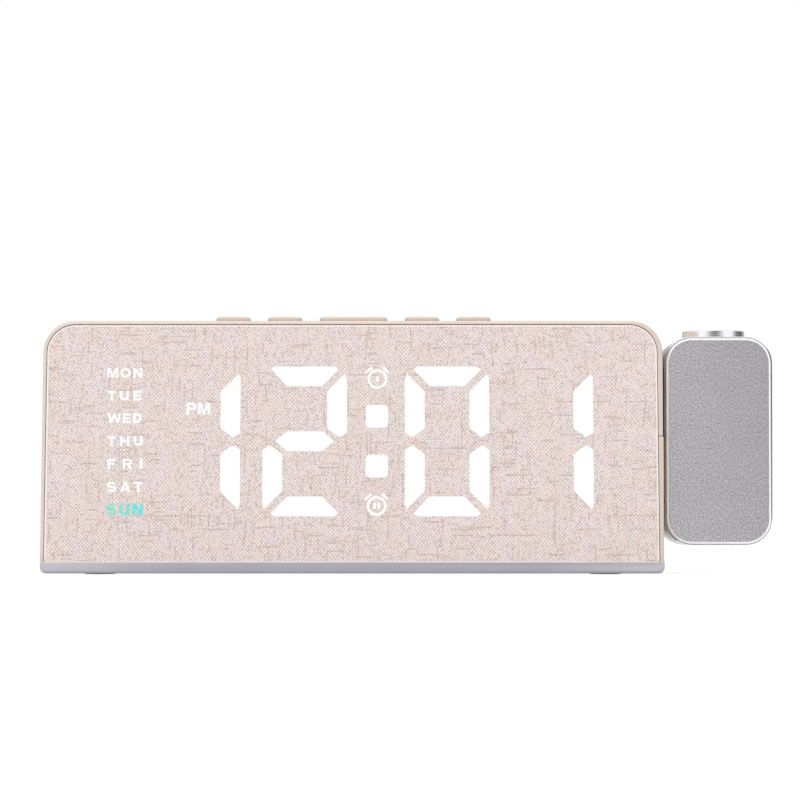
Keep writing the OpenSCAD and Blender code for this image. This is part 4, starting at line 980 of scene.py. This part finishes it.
def letter_shape(letter, w, s):
    """Outline and holes of a bold letter, one unit high and w wide, with strokes s wide."""
    m = w / 2
    if letter == "I":
        return [[(0, 0), (w, 0), (w, 1), (0, 1)]]
    if letter == "T":
        a, b = m - s / 2, m + s / 2
        return [[(a, 0), (b, 0), (b, 1 - s), (w, 1 - s), (w, 1), (0, 1), (0, 1 - s), (a, 1 - s)]]
    if letter == "H":
        low, high, inner = 0.5 - 0.46 * s, 0.5 + 0.46 * s, w - s
        return [[(0, 0), (s, 0), (s, low), (inner, low), (inner, 0), (w, 0), (w, 1), (inner, 1),
                 (inner, high), (s, high), (s, 1), (0, 1)]]
    if letter in "EF":
        h = s * 0.44
        foot = [(0, 0), (w, 0), (w, 2 * h), (s, 2 * h)] if letter == "E" else [(0, 0), (s, 0)]
        return [foot + [(s, 0.49 - h), (0.93 * w, 0.49 - h), (0.93 * w, 0.49 + h), (s, 0.49 + h),
                        (s, 1 - 2 * h), (w, 1 - 2 * h), (w, 1), (0, 1)]]
    if letter == "N":
        return [[(0, 0), (s, 0), (s, 0.62), (w - 1.08 * s, 0), (w, 0), (w, 1), (w - s, 1), (w - s, 0.38),
                 (1.08 * s, 1), (0, 1)]]
    if letter == "M":
        a, b = 0.9 * s, w - 0.9 * s
        return [[(0, 0), (a, 0), (a, 0.66), (m - 0.36 * s, 0), (m + 0.36 * s, 0), (b, 0.66), (b, 0), (w, 0),
                 (w, 1), (w - 1.3 * s, 1), (m, 0.34), (1.3 * s, 1), (0, 1)]]
    if letter == "W":
        a, b = 0.24 * w, 0.76 * w
        return [[(a - 0.44 * s, 0), (a + 0.56 * s, 0), (m, 0.62), (b - 0.56 * s, 0), (b + 0.44 * s, 0),
                 (w, 1), (w - s, 1), (0.745 * w, 0.38), (m + 0.44 * s, 1), (m - 0.44 * s, 1),
                 (0.255 * w, 0.38), (s, 1), (0, 1)]]
    if letter == "A":
        foot = 1.02 * s
        low, bar = (foot + (m - foot) * z / 0.84 for z in (0.17, 0.36))
        return [[(0, 0), (foot, 0), (low, 0.17), (w - low, 0.17), (w - foot, 0), (w, 0), (m + 0.54 * s, 1),
                 (m - 0.54 * s, 1)], [(bar, 0.36), (w - bar, 0.36), (m, 0.78)]]
    if letter == "O":
        return [half_turn(m, 0.5, m - wide, 0.5 - high, 0, 350, 36) for wide, high in ((0, 0), (s, 0.9 * s))]
    if letter == "D":
        middle, bow, inset = (0.42 * w, 0.5), 0.58 * w, 0.86 * s
        return [[(0, 0)] + half_turn(*middle, bow, 0.5, -90, 90, 15) + [(0, 1)],
                [(s, inset)] + half_turn(*middle, bow - s, 0.5 - inset, -90, 90, 15) + [(s, 1 - inset)]]
    if letter == "U":
        bend = 0.42
        outer = half_turn(m, bend, m, bend, 180, 360, 15)
        inner = half_turn(m, bend, m - s, bend - 0.9 * s, 0, -180, 15)
        return [[(0, 1)] + outer + [(w, 1), (w - s, 1)] + inner + [(s, 1)]]
    if letter in "PR":
        bowl, low = 0.31, 0.38
        half = (1 - low) / 2
        outer = half_turn(w - bowl, 1 - half, bowl, half, -90, 90, 11)
        inner = half_turn(w - bowl, 1 - half, bowl - 0.95 * s, half - 0.8 * s, -90, 90, 9)
        leg = [(0, 0), (s, 0), (s, low)]
        if letter == "R":
            leg += [(0.42 * w, low), (w - 1.12 * s, 0), (w, 0), (w - 0.28 * s - 0.12 * w, low * 1.03)]
            outer = outer[2:]
        return [leg + outer + [(0, 1)], [(s, low + 0.8 * s)] + inner + [(s, 1 - 0.8 * s)]]
    if letter == "S":
        half = (1 - s) / 4
        path = half_turn(m, 0.5 + half, m - s / 2, half, 28, 270, 17)
        path = np.array(path + half_turn(m, 0.5 - half, m - s / 2, half, 90, -152, 17)[1:])
        along = np.gradient(path, axis=0)
        normal = np.stack([-along[:, 1], along[:, 0]], -1) / np.linalg.norm(along, axis=1)[:, None]
        return [np.concatenate([path + normal * s / 2, (path - normal * s / 2)[::-1]]).tolist()]
    raise ValueError(f"no outline for the letter {letter}")


# Height of each name's middle up the face, and each letter's left and right edge from the body's middle
WEEKDAYS = {
    "monday": (52.41, [("M", -64.01, -61.17), ("O", -60.57, -57.81), ("N", -57.21, -54.82)]),
    "tuesday": (46.45, [("T", -63.69, -61.67), ("U", -60.62, -58.3), ("E", -57.11, -55.02)]),
    "wednesday": (40.5, [("W", -63.71, -60.2), ("E", -59.83, -57.75), ("D", -57.07, -54.86)]),
    "thursday": (34.52, [("T", -63.68, -61.52), ("H", -60.4, -58.0), ("U", -56.88, -54.49)]),
    "friday": (28.57, [("F", -63.61, -61.55), ("R", -59.7, -57.25), ("I", -55.25, -54.5)]),
    "saturday": (22.51, [("S", -63.61, -61.16), ("A", -60.21, -57.56), ("T", -56.66, -54.51)]),
    "sunday": (16.62, [("S", -63.6, -61.3), ("U", -60.25, -57.8), ("N", -56.85, -54.35)]),
}
AFTERNOON = [("P", -43.21, -40.63), ("M", -40.27, -37.03)]
# Height of a row's letters, and the width of their strokes
WEEKDAY_LETTERS, SATURDAY_LETTERS, SUNDAY_LETTERS = (2.56, 0.66), (2.78, 0.66), (2.95, 0.6)
GLOW_LETTERS, AFTERNOON_LETTERS = (3.6, 1.15), (3.13, 0.8)
GLOW_SPREAD = 0.28  # how far the glow's letters reach past their own at each side
AFTERNOON_MIDDLE = 43.0


def letters(row, middle, height, stroke):
    """Shapes of a row of letters: each unit outline is scaled to the height and moved to its left edge."""
    shapes = []
    for letter, left, right in row:
        outline = letter_shape(letter, (right - left) / height, stroke / height)
        shapes.append([np.array(loop) * height + [left, middle - height / 2] for loop in outline])
    return shapes


class CLOCK_OT_names(bpy.types.Operator):
    """Lit names of the weekdays and the sign of the afternoon"""

    bl_idname = "clock.names"
    bl_label = "Weekdays and half day"

    def execute(self, context):
        c = in_rgb(context.scene.clock_colours)
        white = light_material("display_light", c.light)
        cyan = light_material("sunday_light", c.sunday, far=c.sunday_far, uneven=0.28)
        glow = light_material("sunday_glow", c.sunday_glow, uneven=0.15)
        for day, (middle, row) in WEEKDAYS.items():
            if day == "sunday":
                wide = [(letter, left - GLOW_SPREAD, right + GLOW_SPREAD) for letter, left, right in row]
                lit_piece(context, "sunday_glow", letters(wide, middle, *GLOW_LETTERS), glow, 0.02)
                lit_piece(context, "sunday_light", letters(row, middle, *SUNDAY_LETTERS), cyan)
            else:
                size = SATURDAY_LETTERS if day == "saturday" else WEEKDAY_LETTERS
                lit_piece(context, day + "_light", letters(row, middle, *size), white)
        lit_piece(context, "afternoon_light", letters(AFTERNOON, AFTERNOON_MIDDLE, *AFTERNOON_LETTERS), white)
        return {"FINISHED"}


# ---- Rear and inside ----

# Plain finishes inside the clock by slot: colour and roughness
PLASTICS = {
    "black_plastic": ((34, 34, 37), 0.5), "face_panel": ((236, 233, 228), 0.3),
    "light_box_white": ((240, 240, 236), 0.42), "white_board": ((236, 236, 230), 0.35),
    "green_board": ((38, 92, 62), 0.35), "led_lens": ((250, 244, 214), 0.25),
    "ribbon": ((232, 226, 208), 0.42), "lead_rubber": ((44, 44, 46), 0.6),
    "plug_nylon": ((240, 237, 228), 0.42), "lcd_glass": ((86, 98, 88), 0.12),
    "lens_glass": ((150, 165, 180), 0.05),
}
METALS = {
    "screw_steel": ((185, 188, 192), 0.3), "cell_steel": ((204, 206, 208), 0.25),
    "contact_brass": ((214, 186, 112), 0.3), "washer_brass": ((184, 150, 96), 0.35),
    "nut_brass": ((206, 172, 104), 0.3),
}


def plain(slot):
    """The plain finish of a slot."""
    make, (tint, roughness) = (moulded, PLASTICS[slot]) if slot in PLASTICS else (metal, METALS[slot])
    return make(slot, srgb(*tint), roughness=roughness)


class CLOCK_OT_rear(bpy.types.Operator):
    """Rear cover, battery door and sockets, merged copies of their solids"""

    bl_idname = "clock.rear"
    bl_label = "Rear cover and sockets"

    def execute(self, context):
        # The rear cover and the door take the housing's colour with its painted shade and highlight
        shell = moulded("housing_plastic", shell_shaded_tint(in_rgb(context.scene.clock_colours)), sheen=0.2)
        black, steel = plain("black_plastic"), metal("socket_steel", srgb(198, 200, 203), 0.28)
        for node, name, material in (
            ("rear_cover", "rear_cover_panel", shell),
            ("battery_door", "battery_door_lid", shell),
            ("dc_jack", "power_socket", black),
            ("usb_tongue", "usb_insert", black),
            ("usb_shell", "usb_can", steel),
        ):
            merged_copy(node, name, material)
        return {"FINISHED"}


class CLOCK_OT_fittings(bpy.types.Operator):
    """Screws, feet, swivel and optics, merged copies of their solids"""

    bl_idname = "clock.fittings"
    bl_label = "Fittings"

    def execute(self, context):
        steel, black = plain("screw_steel"), plain("black_plastic")
        rubber = moulded("foot_rubber", srgb(120, 117, 114), grain=0.03, roughness=0.8)
        shaft = metal("shaft_aluminium", srgb(196, 198, 200), brushed=(12, 0.3, 0.3))
        bush = moulded("bush_acetal", srgb(236, 234, 228))
        table = [("cover_screws", steel), ("base_screws", steel), ("pivot_bush", bush),
                 ("swivel_shaft", shaft)]
        table += [(node, black) for node in ("lens_barrel", "lens_retainer", "optic_tube")]
        table += [(f"{end}_{side}_foot", rubber) for end in ("front", "rear") for side in ("left", "right")]
        for node, material in table:
            merged_copy(node, node + "_finished", material)
        return {"FINISHED"}


class CLOCK_OT_inside(bpy.types.Operator):
    """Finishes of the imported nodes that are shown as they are"""

    bl_idname = "clock.inside"
    bl_label = "Inside finishes"

    def execute(self, context):
        for node, obj in frame["nodes"].items():
            if NODE_SLOT[node] in (*PLASTICS, *METALS):
                for place in obj.material_slots:
                    place.material = plain(NODE_SLOT[node])
        return {"FINISHED"}


# ---- Projector head ----


def head_outline(w, h, r, y, steps):
    """Rounded outline about the head's middle, w wide and h high, at the depth y."""
    outline = round_rect(w, h, r, steps)
    return np.column_stack([HEAD_X + outline[:, 0], np.full(len(outline), y), HEAD_Z + outline[:, 1]])


class CLOCK_OT_head_shell(bpy.types.Operator):
    """Head shell: rounded outlines carried from the front rim to the rounded rear edge, hollow inside"""

    bl_idname = "clock.head_shell"
    bl_label = "Head shell"

    def execute(self, context):
        s = in_mm(context.scene.clock_sizes)
        front, back = HEAD_LOW[1], HEAD_HIGH[1]
        thick, seat, rear_edge, cap = 1.8, front + 0.95, 1.2, 3.5
        # Inset and depth of each ring, over the outside from the seat to the rear and back through the inside
        outside = [(s.head_rim, seat), (s.head_rim, front + 0.06), (s.head_rim - 0.06, front),
                   (0.04, front + 0.3), (0.0, front + 0.36), (0.0, back - rear_edge)]
        outside += [(i, back - d) for i, d in rounding(rear_edge, 9)[-2::-1]] + [(cap, back)]
        inside = [(cap, back - thick), (thick, back - thick), (thick, seat)]
        rings = np.array([
            head_outline(HEAD_W - 2 * inset, HEAD_H - 2 * inset, max(s.head_r - inset, 0.5), y, 16)
            for inset, y in outside + inside
        ])
        columns = rings.shape[1]
        start, last = len(outside) * columns, (len(rings) - 1) * columns
        faces = quads(len(outside), columns, True)
        faces += (np.array(quads(len(inside), columns, True)) + start).tolist()
        faces += [list(range(start - columns, start)), list(range(start, start + columns))]
        k = np.arange(columns)
        n = (k + 1) % columns
        faces += np.stack([last + k, last + n, n, k], -1).tolist()
        shell = add_mesh("head_case", rings.reshape(-1, 3), faces)
        cut(shell, cylinder_cutter("z", (HEAD_X, 0, 0), RING_BORE, HEAD_TOP - 3, HEAD_TOP + 1))
        cut(shell, cylinder_cutter("x", (0, 0, HEAD_Z), SHAFT_BORE, HEAD_LOW[0] - 1, HEAD_LOW[0] + 3))
        clean(shell)
        tint = in_rgb(context.scene.clock_colours).metal
        satin = metal("head_metal", tint, 0.34, grain=0.006, grain_scale=12.0)
        finish_piece(shell, "projector_head", "head_metal", satin, "projector_shell")
        facing, depth = -per_face(shell, "normal")[:, 1], per_face(shell, "center")[:, 1] / MM
        rim = metal("head_rim", srgb(248, 248, 250), 0.2, grain=0.001)
        paint_faces(shell, rim, (facing > 0.3) & (depth < front + 0.35))
        return {"FINISHED"}


class CLOCK_OT_head_plate(bpy.types.Operator):
    """Blasted plate with a polished chamfer, painted near-white as a highlight: a rounded outline stepped in
    along a slope
    """

    bl_idname = "clock.head_plate"
    bl_label = "Head plate"

    def execute(self, context):
        s = in_mm(context.scene.clock_sizes)
        w, h = PLATE_HIGH[0] - PLATE_LOW[0], PLATE_HIGH[2] - PLATE_LOW[2]
        front, back = PLATE_LOW[1], PLATE_HIGH[1]
        r = s.head_r - (HEAD_W - w) / 2
        c, d = s.head_chamfer, s.chamfer_d
        profile = [(0.0, back), (0.0, front + d + 0.03), (0.03, front + d), (c - 0.03, front + 0.02),
                   (c + 0.03, front), (c + 0.6, front)]
        rings = np.array([head_outline(w - 2 * i, h - 2 * i, r - i, y, 18) for i, y in profile])
        plate = loft("head_plate", rings, sharp=20)
        tint = plate_shaded_tint(in_rgb(context.scene.clock_colours).plate)
        blasted = metal("plate_blasted", tint, 0.5, grain=0.012, brushed=(1.15, 1, 0.85), speckle=0.42,
                        speck_scale=2.5, drift=0.02)
        finish_piece(plate, "projector_head", "plate_aluminium", blasted, "projector_plate")
        facing = -per_face(plate, "normal")[:, 1]
        # Painted highlight: the polished chamfer is a mostly diffuse near-white, not bare metal
        polished = metal("plate_chamfer", srgb(252, 252, 253), 0.25, grain=0.002, metallic=0.2)
        paint_faces(plate, polished, (facing > 0.3) & (facing < 0.95))
        return {"FINISHED"}


class CLOCK_OT_focus_ring(bpy.types.Operator):
    """Turned focus ring: a grooved profile turned about the head's upright axis"""

    bl_idname = "clock.focus_ring"
    bl_label = "Focus ring"

    def execute(self, context):
        low, high = node_box("focus_ring")
        radius, top, bottom = (high[0] - low[0]) / 2, high[2], HEAD_TOP + 0.1
        across, down, hole, skirt, bore = 0.8, 0.4, 4.2, 7.0, 6.25
        grooves, groove_depth = 10, 0.003
        z = np.linspace(bottom + 0.12, top - down - 0.1, 41)
        groove = groove_depth * (0.5 + 0.5 * np.cos(2 * np.pi * (z - z[0]) / ((z[-1] - z[0]) / grooves)))
        wall = [(radius - 0.06, bottom)] + [(radius - g, h) for g, h in zip(groove, z)]
        t = np.linspace(0, np.pi / 2, 9)
        wall += [(radius - across * (1 - math.cos(a)), top - down * (1 - math.sin(a))) for a in t]
        profile = [(bore, low[2]), (skirt, low[2]), (skirt, bottom), *wall, (hole + 1.1, top),
                   (hole + 0.9, top - 0.12), (hole, top - 0.5), (hole, top - 0.85), (bore, top - 0.85)]
        rings = revolve(profile, 128) + [HEAD_X, 0, 0]
        ring = loft("focus_ring_turned", rings, loop=True, sharp=30)
        turned = metal("ring_aluminium", srgb(248, 248, 250), 0.21, grain=0.0, grain_scale=4.0,
                       brushed=(0.1, 0.1, 3))
        finish_piece(ring, "focus_ring", "ring_aluminium", turned, "focus_ring")
        return {"FINISHED"}


# ---- Stage ----

# Camera: place in metres, tilt and turn in degrees, and shift
CAMERA_PLACE, CAMERA_TILT, CAMERA_TURN, CAMERA_SHIFT = (-0.00154, -0.7156, 0.01715), 1.45, 0.218, (0.01, 0.05)
# Lamp: place and aim in metres, width and height
LAMP_PLACE, LAMP_AIM, LAMP_SIZE = (-0.15, -0.75, 0.75), (0, 0, 0.03), (0.9, 0.6)
FLOOR_REACH = 3000
# Brightness of the studio round the clock, by angle from the camera's side, clockwise seen from above
STUDIO_BANDS = [
    (-180, 0.8), (-165, 0.5), (-92, 0.45), (-76, 1.0), (-37, 1.0), (-25, 0.6), (-9, 0.08), (9, 0.08),
    (25, 0.6), (34, 1.0), (66, 1.0), (77, 0.4), (90, 0.1), (105, 0.06), (122, 0.14), (140, 0.45), (152, 0.8),
    (180, 0.8),
]


def studio_world(level):
    """World of even soft light. Reflections see bright panels and dark gaps round the horizon, and a bright
    ceiling; the camera sees white."""
    f = Finish("studio", "worlds")
    f.tree.nodes.clear()
    x, y, z = f.axes(f.node("ShaderNodeTexCoord").outputs["Generated"])
    angle = f.math("ARCTAN2", x, f.times(y, -1.0))
    bands = f.node("ShaderNodeValToRGB", {0: f.ramp(angle, -math.pi, math.pi, 0, 1, False)})
    stops = bands.color_ramp.elements
    while len(stops) > 1:
        stops.remove(stops[-1])
    for k, (degrees, tone) in enumerate(STUDIO_BANDS):
        stop = stops[0] if k == 0 else stops.new((degrees + 180) / 360)
        stop.position = (degrees + 180) / 360
        stop.color = (tone, tone, tone, 1)
    sides = f.mix(f.ramp(z, 0.35, 0.6), bands.outputs["Color"], (1, 1, 1))
    rays = f.node("ShaderNodeLightPath").outputs
    shown = f.most(rays["Is Camera Ray"], rays["Is Transmission Ray"])
    mirrored_sky, soft, white = (
        f.node("ShaderNodeBackground", {"Color": tint, "Strength": strength}).outputs[0]
        for tint, strength in ((sides, 1.0), ((1, 1, 1), level), ((1, 1, 1), 1.0))
    )
    lit = f.blend(rays["Is Glossy Ray"], soft, mirrored_sky)
    f.node("ShaderNodeOutputWorld", {0: f.blend(shown, lit, white)})
    return f.made


def floor_material():
    """Pale paper that shows white, with a faint shadow, to the camera, in reflections and through glass."""
    f = Finish("stage_floor")
    rays = f.node("ShaderNodeLightPath").outputs
    seen = f.most(rays["Is Camera Ray"], f.most(rays["Is Glossy Ray"], rays["Is Transmission Ray"]))
    paper = f.node("ShaderNodeBsdfDiffuse", {"Color": srgb(236, 236, 236)}).outputs[0]
    glow = f.node("ShaderNodeEmission", {"Color": (1, 1, 1), "Strength": 0.86}).outputs[0]
    faint = f.node("ShaderNodeBsdfDiffuse", {"Color": (0.2, 0.2, 0.2)}).outputs[0]
    bright = f.node("ShaderNodeAddShader", {0: glow, 1: faint}).outputs[0]
    f.feed(f.tree.nodes["Material Output"].inputs["Surface"], f.blend(seen, paper, bright))
    return f.made


class CLOCK_OT_stage(bpy.types.Operator):
    """Camera, pale floor, soft lamp and studio surroundings"""

    bl_idname = "clock.stage"
    bl_label = "Stage"

    def execute(self, context):
        studio = context.scene.clock_studio
        scene = context.scene
        scene.view_settings.view_transform = "Standard"
        lens = bpy.data.cameras.new("camera")
        lens.sensor_width = 36
        lens.lens = studio.focal
        lens.shift_x, lens.shift_y = CAMERA_SHIFT
        lens.clip_start, lens.clip_end = 0.05, 20
        camera = bpy.data.objects.new("camera", lens)
        camera.location = CAMERA_PLACE
        camera.rotation_euler = (math.radians(90 + CAMERA_TILT), 0, math.radians(CAMERA_TURN))
        scene.collection.objects.link(camera)
        scene.camera = camera

        x, y = np.meshgrid(*2 * [np.linspace(-FLOOR_REACH, FLOOR_REACH, 7)])
        plane = np.column_stack([x.ravel(), y.ravel()])
        ground = add_mesh("stage_floor", level(plane, 0), quads(7, 7, False))
        ground.data.materials.append(floor_material())

        scene.world = studio_world(studio.sky)

        lamp = bpy.data.lights.new("front_lamp", "AREA")
        lamp.shape = "RECTANGLE"
        lamp.size, lamp.size_y = LAMP_SIZE
        lamp.energy = studio.key
        key = bpy.data.objects.new("front_lamp", lamp)
        key.location = LAMP_PLACE
        key.rotation_euler = (Vector(LAMP_AIM) - key.location).to_track_quat("-Z", "Y").to_euler()
        scene.collection.objects.link(key)
        return {"FINISHED"}


OPERATORS = [
    CLOCK_OT_stage, CLOCK_OT_housing, CLOCK_OT_buttons, CLOCK_OT_base, CLOCK_OT_fabric, CLOCK_OT_digits,
    CLOCK_OT_alarm_signs, CLOCK_OT_names, CLOCK_OT_rear, CLOCK_OT_fittings, CLOCK_OT_inside,
    CLOCK_OT_head_shell, CLOCK_OT_head_plate, CLOCK_OT_focus_ring,
]
GROUPS = {
    "clock_sizes": ClockSizes, "clock_display": ClockDisplay, "clock_colours": ClockColours,
    "clock_studio": ClockStudio,
}


class CLOCK_PT_panel(bpy.types.Panel):
    """Sizes, colours and builders of the clock"""

    bl_idname = "CLOCK_PT_panel"
    bl_label = "Projection alarm clock"
    bl_space_type = "VIEW_3D"
    bl_region_type = "UI"
    bl_category = "Clock"

    def draw(self, context):
        for operator in OPERATORS:
            self.layout.operator(operator.bl_idname)
        for name, group in GROUPS.items():
            box = self.layout.box()
            settings = getattr(context.scene, name)
            for prop in group.__annotations__:
                box.prop(settings, prop)


def register():
    for cls in (*GROUPS.values(), *OPERATORS, CLOCK_PT_panel):
        bpy.utils.register_class(cls)
    for name, group in GROUPS.items():
        setattr(bpy.types.Scene, name, PointerProperty(type=group))


def unregister():
    for name in GROUPS:
        delattr(bpy.types.Scene, name)
    for cls in reversed((*GROUPS.values(), *OPERATORS, CLOCK_PT_panel)):
        bpy.utils.unregister_class(cls)


def main():
    register()
    for operator in OPERATORS:
        group, name = operator.bl_idname.split(".")
        getattr(getattr(bpy.ops, group), name)()


if __name__ == "__main__":
    main()
